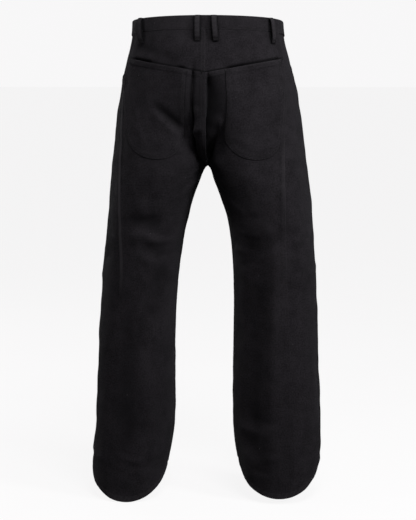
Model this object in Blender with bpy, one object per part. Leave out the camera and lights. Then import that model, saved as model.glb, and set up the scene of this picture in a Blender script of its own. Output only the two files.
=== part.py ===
"""Wide leg jeans in plain black denim, hollow, standing in the form in which they are worn.

Metres, +Z up, the front faces -Y, the wearer's left is +X. The origin is the centre of the waist.
Each cloth piece is a wall worked out from sections of the hips and legs: V runs round one side of
the garment from -1 (centre front, or the inseam below the crotch) through 0 (the outermost point)
to 1 (centre back, or the inseam), and Z is the height.
"""
import math

import bmesh
import bpy
import numpy as np
from mathutils import Vector

# ---- cloth and seams ----
WALL = 0.0016
GAP = 0.0003
HEM_WALL = 0.0030
HEM_DEPTH = 0.014
GIRTH = 0.31

# ---- waist ----
RIM_SIDE = 0.0222
RIM_TILT = 0.0125
BAND = 0.030
BAND_WALL = 0.0028
BAND_PROUD = 0.0007
BAND_SEAM = 0.43
BAND_LAP = 0.012
BAND_UNDERLAP = 0.022

# ---- seat ----
YOKE_SIDE = -0.053
YOKE_CENTRE = -0.0867
CROTCH = -0.2917
SEAT_START = -0.115
SEAT_SQUARE = 2.4
LEG_EVEN = 0.14
SIDE_CHANGE = 0.235
SEAT_FROM = 0.62
SEAT_SOFT = 1.1
GATHER_FROM = 0.60

# ---- hem ----
HEM_BACK = {"left": -1.0396, "right": -1.0280}
HEM_SIDE_LIFT = 0.072
HEM_FRONT_LIFT = 0.026

# Sections: height, outermost x of the left and right side, depth to the front and to the back.
SECTIONS = (
    (0.040, 0.1655, 0.1640, 0.112, 0.112),
    (0.000, 0.1670, 0.1670, 0.115, 0.114),
    (-0.034, 0.1725, 0.1730, 0.118, 0.117),
    (-0.060, 0.1800, 0.1800, 0.120, 0.120),
    (-0.095, 0.1880, 0.1890, 0.122, 0.125),
    (-0.130, 0.1935, 0.1980, 0.122, 0.130),
    (-0.165, 0.1985, 0.2035, 0.121, 0.134),
    (-0.200, 0.2020, 0.2085, 0.119, 0.136),
    (-0.236, 0.2060, 0.2130, 0.117, 0.136),
    (-0.292, 0.2130, 0.2195, 0.114, 0.132),
    (-0.360, 0.2195, 0.2275, 0.108, 0.124),
    (-0.450, 0.2290, 0.2370, 0.098, 0.112),
    (-0.523, 0.2350, 0.2415, 0.091, 0.103),
    (-0.596, 0.2402, 0.2444, 0.085, 0.097),
    (-0.669, 0.2464, 0.2482, 0.080, 0.094),
    (-0.742, 0.2510, 0.2511, 0.077, 0.093),
    (-0.816, 0.2555, 0.2548, 0.075, 0.093),
    (-0.890, 0.2585, 0.2562, 0.075, 0.094),
    (-0.928, 0.2610, 0.2555, 0.075, 0.095),
    (-0.965, 0.2625, 0.2515, 0.075, 0.095),
    (-1.060, 0.2625, 0.2480, 0.074, 0.094),
)

# Inner side of the legs below the crotch: height, x of the left and right inseam.
INSEAMS = (
    (-0.2917, 0.0000, 0.0000),
    (-0.2940, 0.0042, 0.0036),
    (-0.2990, 0.0080, 0.0066),
    (-0.3073, 0.0120, 0.0095),
    (-0.3252, 0.0190, 0.0155),
    (-0.3431, 0.0258, 0.0222),
    (-0.3610, 0.0322, 0.0288),
    (-0.3968, 0.0425, 0.0412),
    (-0.4508, 0.0550, 0.0515),
    (-0.5230, 0.0655, 0.0573),
    (-0.5960, 0.0712, 0.0592),
    (-0.6690, 0.0741, 0.0583),
    (-0.7420, 0.0756, 0.0577),
    (-0.8160, 0.0755, 0.0577),
    (-0.8900, 0.0780, 0.0592),
    (-0.9280, 0.0834, 0.0631),
    (-0.9650, 0.0910, 0.0700),
    (-1.0600, 0.0970, 0.0780),
)

# Where the outseam runs: height, V on the left and right side.
OUTSEAMS = (
    (0.040, 0.200, 0.270),
    (-0.060, 0.215, 0.290),
    (-0.110, 0.245, 0.345),
    (-0.165, 0.245, 0.365),
    (-0.210, 0.243, 0.365),
    (-0.253, 0.241, 0.348),
    (-0.292, 0.246, 0.335),
    (-0.340, 0.272, 0.345),
    (-0.410, 0.312, 0.382),
    (-0.470, 0.340, 0.402),
    (-0.600, 0.358, 0.402),
    (-0.800, 0.345, 0.385),
    (-1.060, 0.325, 0.360),
)

# Largest folds: side, V and height of each end, half width, depth (out of the cloth is positive).
FOLDS = (
    ("left", 0.909, -0.098, 0.909, -0.190, 0.011, -0.0070),
    ("left", 0.903, -0.190, 0.845, -0.264, 0.011, -0.0060),
    ("left", 0.840, -0.110, 0.820, -0.235, 0.014, 0.0035),
    ("right", 0.951, -0.098, 0.951, -0.190, 0.016, -0.0100),
    ("right", 0.951, -0.190, 0.930, -0.274, 0.016, -0.0080),
    ("right", 0.800, -0.110, 0.790, -0.240, 0.020, 0.0040),
    ("left", 0.641, -0.158, 0.781, -0.212, 0.020, -0.0060),
    ("left", 0.619, -0.188, 0.745, -0.224, 0.016, 0.0045),
    ("left", 0.418, -0.412, 0.641, -0.421, 0.015, -0.0055),
    ("left", 0.438, -0.434, 0.654, -0.440, 0.014, 0.0055),
    ("left", 0.526, -0.458, 0.715, -0.474, 0.020, -0.0065),
    ("left", 0.640, -0.300, 0.560, -0.380, 0.026, 0.0035),
    ("right", 0.484, -0.468, 0.686, -0.456, 0.026, -0.0080),
    ("right", 0.500, -0.420, 0.700, -0.418, 0.020, 0.0050),
    ("right", 0.472, -0.480, 0.512, -0.640, 0.024, 0.0060),
    ("right", 0.512, -0.640, 0.545, -0.960, 0.024, 0.0060),
    ("right", 0.640, -0.560, 0.660, -0.880, 0.032, -0.0055),
    ("right", 0.781, -0.868, 0.565, -0.886, 0.015, 0.0055),
    ("right", 0.780, -0.898, 0.600, -0.912, 0.014, -0.0050),
    ("right", 0.740, -0.930, 0.758, -0.985, 0.022, 0.0045),
    ("left", 0.620, -0.720, 0.660, -0.960, 0.030, 0.0040),
    ("left", 0.450, -0.620, 0.470, -0.900, 0.030, -0.0040),
    ("left", 0.720, -0.520, 0.640, -0.620, 0.026, -0.0045),
    ("left", -0.820, -0.205, -0.550, -0.262, 0.018, -0.0055),
    ("left", -0.800, -0.240, -0.480, -0.315, 0.018, 0.0050),
    ("right", -0.820, -0.205, -0.570, -0.255, 0.018, -0.0055),
    ("right", -0.800, -0.235, -0.500, -0.300, 0.018, 0.0045),
    ("left", -0.620, -0.500, -0.340, -0.520, 0.022, -0.0050),
    ("left", -0.640, -0.545, -0.360, -0.560, 0.022, 0.0045),
    ("right", -0.600, -0.515, -0.320, -0.500, 0.022, -0.0050),
    ("right", -0.620, -0.560, -0.360, -0.545, 0.022, 0.0045),
    ("left", -0.500, -0.620, -0.480, -0.880, 0.026, 0.0045),
    ("right", -0.500, -0.620, -0.520, -0.880, 0.026, 0.0045),
    ("left", -0.740, -0.860, -0.300, -0.880, 0.017, -0.0060),
    ("left", -0.760, -0.895, -0.360, -0.910, 0.014, 0.0050),
    ("right", -0.720, -0.875, -0.280, -0.860, 0.017, -0.0060),
    ("right", -0.720, -0.905, -0.340, -0.895, 0.014, 0.0050),
    ("left", 0.050, -0.700, 0.020, -0.900, 0.024, -0.0035),
    ("right", 0.080, -0.640, 0.060, -0.860, 0.024, -0.0035),
)

# Heights of the rows of points between the seat seam and the hem.
SEAT_ROWS = (-0.165, -0.190, -0.212, -0.232, -0.249, -0.263, -0.274, -0.2825, -0.288, CROTCH)
THIGH_ROWS = (-0.2940, -0.2985, -0.3055, -0.3150, -0.3280, -0.3440, -0.3620, -0.3820)
LEG_ROW_STEP = 0.0255
LEG_ROWS = tuple(-0.4040 - LEG_ROW_STEP * i for i in range(19))
HEM_ROWS = (0.20, 0.40, 0.60, 0.79, 0.90, 0.905, 1.0)
HEM_EDGE = {0.90: HEM_DEPTH + 0.0012, 0.905: HEM_DEPTH, 1.0: 0.0}
YOKE_SHARES = (0.0, 0.34, 0.67, 1.0)
BACK_TOP = (0.0, 0.28, 0.52, 0.77)
COLUMNS = 14

# Back pocket outlines from the inner end of the mouth round the bottom: V and Z, left and right.
POCKET_OUTLINES = {
    "left": (
        (0.875, -0.060),
        (0.867, -0.145),
        (0.834, -0.203),
        (0.776, -0.232),
        (0.713, -0.252),
        (0.646, -0.266),
        (0.590, -0.271),
        (0.541, -0.272),
        (0.474, -0.269),
        (0.413, -0.260),
        (0.356, -0.243),
        (0.323, -0.218),
        (0.306, -0.168),
        (0.285, -0.110),
        (0.262, -0.030),
    ),
    "right": (
        (0.858, -0.060),
        (0.862, -0.145),
        (0.848, -0.199),
        (0.799, -0.230),
        (0.718, -0.252),
        (0.650, -0.265),
        (0.595, -0.271),
        (0.543, -0.273),
        (0.482, -0.271),
        (0.435, -0.264),
        (0.405, -0.252),
        (0.392, -0.235),
        (0.398, -0.167),
        (0.380, -0.110),
        (0.340, -0.030),
    ),
}
POCKET_WALL = 0.0013
POCKET_MOUTH = 0.0026
POCKET_MOUTH_DEPTH = 0.045
POCKET_TOP = 0.003

# Front pockets.
SCOOP_WIDTH = 0.165
SCOOP_DEPTH = 0.095
FACING_MARGIN = 0.022
FACING_WALL = 0.0010

# Fly and zip.
FLY_WIDTH = 0.036
FLY_END = -0.158
FLY_WALL = 0.0012
TAPE_HALF = 0.012
TAPE_WALL = 0.0010
SLIDER = (0.008, 0.0025, 0.011)

# Belt loops: height along the loop and how far its inner face stands off the cloth.
LOOP_PATH = (
    (-0.0190, 0.0004),
    (-0.0145, 0.0006),
    (-0.0095, 0.0028),
    (-0.0020, 0.0045),
    (0.0075, 0.0048),
    (0.0180, 0.0048),
    (0.0255, 0.0040),
    (0.0300, 0.0014),
    (0.0330, 0.0012),
)
LOOP_WIDTH = 0.0125
LOOP_WALL = 0.0018
# Loop places: name, side, V, lean to the side from bottom to top.
LOOPS = (
    ("loop_back_left", "left", 0.936, 0.000),
    ("loop_back_right", "right", 0.922, 0.002),
    ("loop_side_left", "left", 0.430, -0.008),
    ("loop_side_right", "right", 0.400, 0.002),
    ("loop_front_left", "left", -0.470, 0.000),
    ("loop_front_right", "right", -0.470, 0.000),
)

BUTTON_PROFILE = (
    (0.0000, 0.0000),
    (0.0032, 0.0000),
    (0.0032, 0.0008),
    (0.0080, 0.0010),
    (0.0085, 0.0017),
    (0.0083, 0.0024),
    (0.0072, 0.0028),
    (0.0062, 0.0024),
    (0.0030, 0.0025),
    (0.0000, 0.0027),
)
BUTTON_SIDES = 20

SIGN = {"left": 1.0, "right": -1.0}
COLUMN = {"left": 1, "right": 2}


def look_up(table, column, z):
    """A table's column at the heights z, through its rows with a smooth curve."""
    rows = sorted(table)
    x = np.array([row[0] for row in rows])
    y = np.array([row[column] for row in rows])
    slope = np.gradient(y, x)
    z = np.clip(z, x[0], x[-1])
    i = np.clip(np.searchsorted(x, z) - 1, 0, len(x) - 2)
    h = x[i + 1] - x[i]
    t = (z - x[i]) / h
    a = (1 + 2 * t) * (1 - t) ** 2 * y[i]
    b = t * (1 - t) ** 2 * h * slope[i]
    c = t * t * (3 - 2 * t) * y[i + 1]
    d = t * t * (t - 1) * h * slope[i + 1]
    return a + b + c + d


def smooth(t):
    """A soft step from 0 to 1."""
    t = np.clip(t, 0, 1)
    return t * t * (3 - 2 * t)


def gathered(s):
    """V's share of a turn, with the points close together towards the inner end."""
    t = np.clip((s - GATHER_FROM) / (1 - GATHER_FROM), 0, 1)
    ease = t * (1 - t) ** 2 + t * t * (3 - 2 * t)
    return np.where(s < GATHER_FROM, s, GATHER_FROM + (1 - GATHER_FROM) * ease)


def rounded(angle, power):
    """The reach of a rounded square of half width 1 in a direction."""
    return (abs(np.cos(angle)) ** power + abs(np.sin(angle)) ** power) ** (-1 / power)


def form(side, v, z):
    """Points of the garment without its folds."""
    v, z = np.broadcast_arrays(np.asarray(v, float), np.asarray(z, float))
    above = z >= CROTCH
    turned = abs(v) > 1
    s = np.where(turned, 2 - abs(v), abs(v))
    back = np.where(turned & ~above, v < 0, v >= 0)
    mirror = np.where(turned & above, -1.0, 1.0)
    out = look_up(SECTIONS, COLUMN[side], z)
    inner = np.where(above, 0.0, look_up(INSEAMS, COLUMN[side], np.minimum(z, CROTCH)))
    depth = np.where(back, look_up(SECTIONS, 4, z), -look_up(SECTIONS, 3, z))
    fall = np.clip((SEAT_START - z) / (SEAT_START - CROTCH), 0, 1)
    soft = SEAT_SOFT * smooth((1 - s) / 0.16)
    seat = 1 - (1 - fall**SEAT_SQUARE) ** (1 / SEAT_SQUARE + soft)
    side_part = smooth((SEAT_START - z) / SIDE_CHANGE)
    leg = side_part + (seat - side_part) * smooth((s - SEAT_FROM) / (0.97 - SEAT_FROM))
    quarter = s * math.pi / 2
    reach = rounded(quarter, 2.3)
    hip_x = out * reach * np.cos(quarter)
    hip_y = depth * reach * np.sin(quarter)
    even = smooth((CROTCH - z) / LEG_EVEN)
    half = math.pi * (even * s + (1 - even) * gathered(s))
    reach = rounded(half, 2.15)
    leg_x = (out + inner) / 2 + (out - inner) / 2 * reach * np.cos(half)
    leg_y = depth * reach * np.sin(half)
    x = mirror * ((1 - leg) * hip_x + leg * leg_x)
    y = (1 - leg) * hip_y + leg * leg_y
    return np.stack([SIGN[side] * x, y, z], axis=-1)


def normal_of(surface, side, v, z):
    """Outward normals of a surface at v and z."""
    dv, dz = 0.004, 0.0004
    a = surface(side, v + dv, z) - surface(side, v - dv, z)
    b = surface(side, v, z + dz) - surface(side, v, z - dz)
    n = np.cross(a, b) * SIGN[side]
    length = np.linalg.norm(n, axis=-1, keepdims=True)
    return n / np.maximum(length, 1e-12)


def fold_depth(side, v, z):
    """How far the folds move the cloth out."""
    v, z = np.broadcast_arrays(np.asarray(v, float), np.asarray(z, float))
    total = np.zeros(v.shape)
    for row_side, va, za, vb, zb, half_width, depth in FOLDS:
        if row_side != side:
            continue
        px, pz = (v - va) * GIRTH, z - za
        qx, qz = (vb - va) * GIRTH, zb - za
        t = np.clip((px * qx + pz * qz) / (qx * qx + qz * qz), -0.3, 1.3)
        off = np.hypot(px - t * qx, pz - t * qz) / half_width
        along = smooth((0.5 - abs(t - 0.5) + 0.25) / 0.4)
        total += depth * along * np.exp(-1.2 * off * off)
    edge = smooth((1 - abs(v)) * GIRTH / 0.022)
    top = smooth((-0.085 - z) / 0.030)
    return total * np.clip(edge, 0, 1) * top


def cloth(side, v, z):
    """Points of the garment with its folds."""
    return form(side, v, z) + normal_of(form, side, v, z) * fold_depth(side, v, z)[..., None]


def cloth_normal(side, v, z):
    """Outward normals of the cloth, which lie in the middle plane along the seat seam."""
    v, z = np.broadcast_arrays(np.asarray(v, float), np.asarray(z, float))
    n = normal_of(cloth, side, v, z)
    seat = (abs(abs(v) - 1) < 1e-6) & (z >= CROTCH - 1e-6)
    n[seat, 0] = 0.0
    fork = seat & (z <= CROTCH + 1e-6)
    n[fork] = (0.0, 0.0, -1.0)
    return n / np.linalg.norm(n, axis=-1, keepdims=True)


def outseam(side, z):
    return look_up(OUTSEAMS, COLUMN[side], z)


def rim_height(v):
    """Top edge of the waistband, higher at the back."""
    return RIM_SIDE + RIM_TILT * np.sin(np.clip(v, -1, 1) * math.pi / 2)


def waist_seam(v):
    return rim_height(v) - BAND


def yoke_seam(v):
    return YOKE_CENTRE + (YOKE_SIDE - YOKE_CENTRE) * np.cos(np.clip(v, 0, 1) * math.pi / 2)


def hem_height(side, v):
    """Bottom edge of a leg: lowest at the back and lifted at the front."""
    up = np.sin(np.asarray(v, float) * math.pi)
    lift = np.where(up > 0, HEM_SIDE_LIFT * (1 - up), HEM_SIDE_LIFT - HEM_FRONT_LIFT * up)
    return HEM_BACK[side] + lift


def outseam_heights(side, top, bottom, shares):
    """Heights on the outseam between two lines, with V there."""
    heights, places = [], []
    for share in shares:
        v = 0.25
        for _ in range(6):
            z = float(top(v) + (bottom(v) - top(v)) * share)
            v = float(outseam(side, z))
        heights.append(z)
        places.append(v)
    return heights, places


def top_rows(side, face):
    """Height and V on the outseam of a panel's rows above the first level row."""
    level = lambda v: SEAT_ROWS[0]
    low = outseam_heights(side, lambda v: yoke_seam(v) - GAP, level, BACK_TOP)
    if face == "back":
        return low
    high = outseam_heights(side, lambda v: waist_seam(v) - GAP, yoke_seam, YOKE_SHARES[:-1])
    return high[0] + low[0], high[1] + low[1]


def sheet_rows(side, face, share):
    """V and Z of a panel's grid of points, from its top line down to the hem."""
    end = 1.0 if face == "back" else -1.0
    top = (lambda v: yoke_seam(v) - GAP) if face == "back" else (lambda v: waist_seam(v) - GAP)
    rows = []
    for z0, v0 in zip(*top_rows(side, face)):
        v = v0 + (end - v0) * share
        first = float(top(v0))
        line = top(v)
        rows.append((v, line + (SEAT_ROWS[0] - line) * (z0 - first) / (SEAT_ROWS[0] - first)))
    for level in SEAT_ROWS + THIGH_ROWS + LEG_ROWS:
        v0 = float(outseam(side, level))
        rows.append((v0 + (end - v0) * share, np.full(len(share), level)))
    for part in HEM_ROWS:
        v0 = float(outseam(side, LEG_ROWS[-1] - part * 0.12))
        v = v0 + (end - v0) * share
        hem = hem_height(side, v)
        if part in HEM_EDGE:
            rows.append((v, hem + HEM_EDGE[part]))
        else:
            stop = hem + HEM_DEPTH + 0.006
            rows.append((v, LEG_ROWS[-1] + (stop - LEG_ROWS[-1]) * part / 0.79))
    return np.array([r[0] for r in rows]), np.array([r[1] for r in rows])


def grid_faces(rows, columns, flip):
    """Triangles of a grid of points."""
    faces = []
    for r in range(rows - 1):
        for c in range(columns - 1):
            a = r * columns + c
            b, d, e = a + 1, a + columns, a + columns + 1
            faces += [(a, d, e), (a, e, b)] if not flip else [(a, e, d), (a, b, e)]
    return faces


class Sheet:
    """Cloth as triangles with a normal, V and Z at each point."""

    def __init__(self, points, normals, place, faces):
        self.points = np.asarray(points, float)
        self.normals = np.asarray(normals, float)
        self.place = np.asarray(place, float)
        self.faces = list(faces)

    def clipped(self, field):
        """The part where field(V, Z) is not negative, cut along the line where it is zero."""
        value = field(self.place[:, 0], self.place[:, 1])
        value = np.where(abs(value) < 0.0006, 0.0, value)
        points, normals, place = list(self.points), list(self.normals), list(self.place)
        cuts, faces = {}, []
        for face in self.faces:
            ring = []
            for i in range(3):
                a, b = face[i], face[(i + 1) % 3]
                if value[a] >= 0:
                    ring.append(a)
                if value[a] * value[b] < 0:
                    key = (min(a, b), max(a, b))
                    if key not in cuts:
                        cuts[key] = len(points)
                        t = self.crossing(field, key, value)
                        i0, i1 = key
                        for store in (points, normals, place):
                            store.append(store[i0] * (1 - t) + store[i1] * t)
                    ring.append(cuts[key])
            if len(ring) >= 3 and sum(value[k] > 0 for k in ring if k < len(value)) > 0:
                faces += [(ring[0], ring[k], ring[k + 1]) for k in range(1, len(ring) - 1)]
        used = sorted({k for face in faces for k in face})
        new = {k: i for i, k in enumerate(used)}
        faces = [tuple(new[k] for k in face) for face in faces]
        pick = [np.array(x)[used] for x in (points, normals, place)]
        return Sheet(pick[0], pick[1], pick[2], faces)

    def crossing(self, field, key, value):
        """Where the field is zero along an edge, as a share of it."""
        a, b = self.place[key[0]], self.place[key[1]]
        low, high = 0.0, 1.0
        for _ in range(12):
            middle = (low + high) / 2
            at = a + (b - a) * middle
            here = field(at[0:1], at[1:2])[0]
            if (here > 0) == (value[key[0]] > 0):
                low = middle
            else:
                high = middle
        return min(max((low + high) / 2, 0.02), 0.98)


def leg_sheet(side, face):
    """The whole outer surface of a front or back leg panel."""
    sign = SIGN[side]
    share = np.linspace(0, 1, COLUMNS + 1)
    share = share + 0.035 * np.sin(share * math.pi) * (1 - share)
    v, z = sheet_rows(side, face, share)
    points, normals = cloth(side, v, z), cloth_normal(side, v, z)
    for column, step in ((0, 1), (-1, -1)):
        inward = points[:, column + step] - points[:, column]
        inward /= np.linalg.norm(inward, axis=-1, keepdims=True)
        points[:, column] += inward * GAP / 2
    seat = z[:, -1] >= CROTCH - 1e-6
    points[seat, -1, 0] = sign * GAP / 2
    fork = seat & (z[:, -1] <= CROTCH + 1e-6)
    points[fork, -1, 1] = GAP / 2 if face == "back" else -GAP / 2
    flip = (face == "back") != (sign > 0)
    place = np.stack([v, z], axis=-1).reshape(-1, 2)
    faces = grid_faces(len(v), COLUMNS + 1, flip)
    return Sheet(points.reshape(-1, 3), normals.reshape(-1, 3), place, faces)


def yoke_sheet(side):
    """The outer surface of a yoke, with the back panel's columns."""
    share = np.linspace(0, 1, COLUMNS + 1)
    share = share + 0.035 * np.sin(share * math.pi) * (1 - share)
    v, z = [], []
    _, starts = outseam_heights(side, lambda v: waist_seam(v) - GAP, yoke_seam, YOKE_SHARES)
    for v0, part in zip(starts, YOKE_SHARES):
        row = v0 + (1 - v0) * share
        low, high = yoke_seam(row), waist_seam(row) - GAP
        v.append(row)
        z.append(high + (low - high) * part)
    v, z = np.array(v), np.array(z)
    points, normals = cloth(side, v, z), cloth_normal(side, v, z)
    inward = points[:, 1] - points[:, 0]
    points[:, 0] += inward / np.linalg.norm(inward, axis=-1, keepdims=True) * GAP / 2
    points[:, -1, 0] = SIGN[side] * GAP / 2
    place = np.stack([v, z], axis=-1).reshape(-1, 2)
    faces = grid_faces(4, COLUMNS + 1, SIGN[side] < 0)
    return Sheet(points.reshape(-1, 3), normals.reshape(-1, 3), place, faces)


def material(name, colour, roughness, metallic):
    made = bpy.data.materials.get(name)
    if made is None:
        made = bpy.data.materials.new(name)
        made.use_nodes = True
        shader = made.node_tree.nodes["Principled BSDF"]
        shader.inputs["Base Color"].default_value = (*colour, 1.0)
        shader.inputs["Roughness"].default_value = roughness
        shader.inputs["Metallic"].default_value = metallic
    return made


def denim(name):
    return material(name, (0.014, 0.014, 0.017), 0.88, 0.0)


def metal(name):
    return material(name, (0.10, 0.095, 0.09), 0.38, 1.0)


def add_object(name, points, faces, stuff):
    """A mesh object with smooth shading, whose origin is the middle of its points."""
    points = np.asarray(points, float)
    middle = (points.min(axis=0) + points.max(axis=0)) / 2
    mesh = bpy.data.meshes.new(name)
    mesh.from_pydata([tuple(p) for p in points - middle], [], [tuple(f) for f in faces])
    mesh.materials.append(stuff(name))
    work = bmesh.new()
    work.from_mesh(mesh)
    bmesh.ops.recalc_face_normals(work, faces=work.faces)
    work.to_mesh(mesh)
    work.free()
    mesh.shade_smooth()
    made = bpy.data.objects.new(name, mesh)
    made.location = Vector(middle)
    bpy.context.scene.collection.objects.link(made)
    return made


def add_wall(name, sheet, outer, inner, stuff):
    """A closed wall between two distances from a sheet, out of the garment being positive."""
    count = len(sheet.points)
    outer = np.broadcast_to(np.asarray(outer, float), (count,))[:, None]
    inner = np.broadcast_to(np.asarray(inner, float), (count,))[:, None]
    points = np.concatenate(
        [sheet.points + sheet.normals * outer, sheet.points + sheet.normals * inner]
    )
    faces, sides = [], {}
    for a, b, c in sheet.faces:
        faces += [(a, b, c), (a + count, c + count, b + count)]
        for i, k in ((a, b), (b, c), (c, a)):
            sides[(i, k)] = sides.get((i, k), 0) + 1
    for i, k in sides:
        if (k, i) not in sides:
            faces += [(k, i, i + count), (k, i + count, k + count)]
    return add_object(name, points, faces, stuff)


def polygon_field(outline):
    """Distance inside a closed outline of points in metres along V and Z."""
    a = np.array(outline, float)
    b = np.roll(a, -1, axis=0)

    def field(v, z):
        p = np.stack([np.asarray(v) * GIRTH, np.asarray(z)], axis=-1)[:, None, :]
        d = b - a
        t = np.clip(((p - a) * d).sum(-1) / (d * d).sum(-1), 0, 1)
        far = np.linalg.norm(p - a - t[..., None] * d, axis=-1).min(axis=1)
        px, pz = p[:, :, 0], p[:, :, 1]
        cross = (a[:, 1] > pz) != (b[:, 1] > pz)
        slope = (b[:, 0] - a[:, 0]) / np.where(b[:, 1] == a[:, 1], 1.0, b[:, 1] - a[:, 1])
        hit = cross & (px < slope * (pz - a[:, 1]) + a[:, 0])
        inside = hit.sum(axis=1) % 2 == 1
        return np.where(inside, far, -far)

    return field


def scoop_field(side, width, depth):
    """Positive outside the curved mouth of a front pocket."""

    def field(v, z):
        across = (outseam(side, z) - v) * GIRTH / width
        down = (waist_seam(v) - z) / depth
        size = np.hypot(np.maximum(across, 0), np.maximum(down, 0))
        return (size - 1) * min(width, depth)

    return field


def build_panels():
    sheets = {}
    for side in ("left", "right"):
        back = leg_sheet(side, "back")
        front = leg_sheet(side, "front")
        sheets[side, "back"], sheets[side, "front"] = back, front
        for face, sheet in (("back", back), ("front", front)):
            low = sheet.place[:, 1] - hem_height(side, sheet.place[:, 0])
            thick = np.where(low <= HEM_DEPTH + 0.0002, HEM_WALL - WALL, 0.0)
            kept = sheet
            outer = thick * 0.5
            inner = -WALL - thick * 0.5
            if face == "front":
                kept, outer, inner = scooped(side, sheet, outer, inner)
            add_wall(f"{face}_{side}", kept, outer, inner, denim)
        add_wall(f"yoke_{side}", yoke_sheet(side), 0.0, -WALL, denim)
    return sheets


def scooped(side, sheet, outer, inner):
    """A front panel without its pocket mouth, and its wall's two distances."""
    marked = Sheet(
        sheet.points,
        np.concatenate([sheet.normals, outer[:, None], inner[:, None]], axis=1),
        sheet.place,
        sheet.faces,
    )
    marked = marked.clipped(scoop_field(side, SCOOP_WIDTH, SCOOP_DEPTH))
    outer, inner = marked.normals[:, 3], marked.normals[:, 4]
    marked.normals = marked.normals[:, :3]
    return marked, outer, inner


def build_pocket(side, back):
    """A back pocket: the panel's own points inside its outline, moved out."""
    table = POCKET_OUTLINES[side]
    kept = back.clipped(polygon_field([(v * GIRTH, z) for v, z in table]))
    kept = kept.clipped(lambda v, z: yoke_seam(v) - POCKET_TOP - z)
    first, last = table[0][0], table[-1][0]
    middle, half = (first + last) / 2, (first - last) / 2
    across = np.clip(1 - ((kept.place[:, 0] - middle) / half) ** 2, 0, 1)
    down = (yoke_seam(kept.place[:, 0]) - kept.place[:, 1]) / POCKET_MOUTH_DEPTH
    lift = GAP + POCKET_MOUTH * across * (1 - smooth(down))
    add_wall(f"back_pocket_{side}", kept, lift + POCKET_WALL, lift, denim)


def build_facing(side, front):
    """The cloth behind a front pocket's mouth: the panel's points, moved in."""
    field = scoop_field(side, SCOOP_WIDTH + FACING_MARGIN, SCOOP_DEPTH + FACING_MARGIN)
    kept = front.clipped(lambda v, z: -field(v, z))
    near = -WALL - GAP
    add_wall(f"pocket_facing_{side}", kept, near, near - FACING_WALL, denim)


def build_fly(front):
    """The fly placket on the left front: the panel's points, moved out, with a curved end."""

    def field(v, z):
        across = (v + 1) * GIRTH
        straight = FLY_WIDTH - across
        low = np.hypot(across, np.minimum(z - FLY_END - FLY_WIDTH, 0))
        return np.where(z > FLY_END + FLY_WIDTH, straight, FLY_WIDTH - low)

    kept = front.clipped(field)
    add_wall("fly_placket", kept, GAP + FLY_WALL, GAP, denim)


def strip(side, columns, rows):
    """A sheet through given columns of V and rows of Z."""
    v, z = np.meshgrid(columns, rows)
    points, normals = form(side, v, z), normal_of(form, side, v, z)
    faces = grid_faces(len(rows), len(columns), True)
    place = np.stack([v, z], axis=-1).reshape(-1, 2)
    return Sheet(points.reshape(-1, 3), normals.reshape(-1, 3), place, faces)


def build_zip():
    reach = TAPE_HALF / GIRTH
    top, low = waist_seam(-1.0) - 0.003, FLY_END + 0.010
    rows = np.linspace(top, low, 9)
    tape = strip("left", np.linspace(-1 - reach, -1 + reach, 5), rows)
    near = -WALL - FACING_WALL
    add_wall("zip_tape", tape, near, near - TAPE_WALL, denim)
    centre = form("left", -1.0, top - 0.010)
    normal = normal_of(form, "left", np.array([-1.0]), np.array([top - 0.010]))[0]
    centre = centre + normal * (near - TAPE_WALL - GAP - SLIDER[1] / 2 - 0.0004)
    work = bmesh.new()
    bmesh.ops.create_cube(work, size=1.0)
    bmesh.ops.scale(work, vec=SLIDER, verts=work.verts)
    bmesh.ops.bevel(
        work, geom=list(work.edges), offset=0.0007, segments=2, profile=0.5, affect="EDGES"
    )
    bmesh.ops.triangulate(work, faces=work.faces)
    mesh = bpy.data.meshes.new("zip_slider")
    work.to_mesh(mesh)
    work.free()
    mesh.materials.append(metal("zip_slider"))
    mesh.shade_smooth()
    slider = bpy.data.objects.new("zip_slider", mesh)
    slider.location = Vector(centre)
    bpy.context.scene.collection.objects.link(slider)


def band_piece(name, side_of, columns, push):
    """A part of the waistband through its columns of V, each with its side."""
    shares = (0.0, 0.33, 0.67, 1.0)
    points, normals = [], []
    for share in shares:
        for side, v, deep in zip(side_of, columns, push):
            low = float(waist_seam(v if abs(v) <= 1 else math.copysign(2 - abs(v), v)))
            z = low + BAND * share
            spot, n = form(side, v, z), normal_of(form, side, np.array([v]), np.array([z]))[0]
            n[2] = 0.0
            n /= np.linalg.norm(n)
            points.append(spot + n * (BAND_PROUD - deep))
            normals.append(n)
    place = np.zeros((len(points), 2))
    faces = grid_faces(len(shares), len(columns), False)
    sheet = Sheet(points, normals, place, faces)
    add_wall(name, sheet, 0.0, -BAND_WALL, denim)


def build_waistband():
    back = np.linspace(BAND_SEAM + GAP / 2 / GIRTH, 1.0, 13)
    sides = ["left"] * 13 + ["right"] * 12
    columns = list(back) + list(back[-2::-1])
    band_piece("waistband_back", sides, columns, [0.0] * 25)
    arc = 0.27
    lap = -1 - BAND_LAP / arc
    left = list(np.linspace(BAND_SEAM - GAP / 2 / GIRTH, -0.86, 20)) + [-0.93, -1.0, lap]
    band_piece("waistband_left", ["left"] * 23, left, [0.0] * 23)
    under = [-0.84, -0.88, -0.91, -0.935, -0.97, -1.0, -1 - BAND_UNDERLAP / arc]
    right = list(np.linspace(BAND_SEAM - GAP / 2 / GIRTH, -0.80, 19)) + under
    sunk = BAND_WALL + GAP + 0.0002
    deep = [sunk * float(smooth((-v - 0.84) / 0.07)) for v in right]
    band_piece("waistband_right", ["right"] * 26, right, deep)


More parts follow.
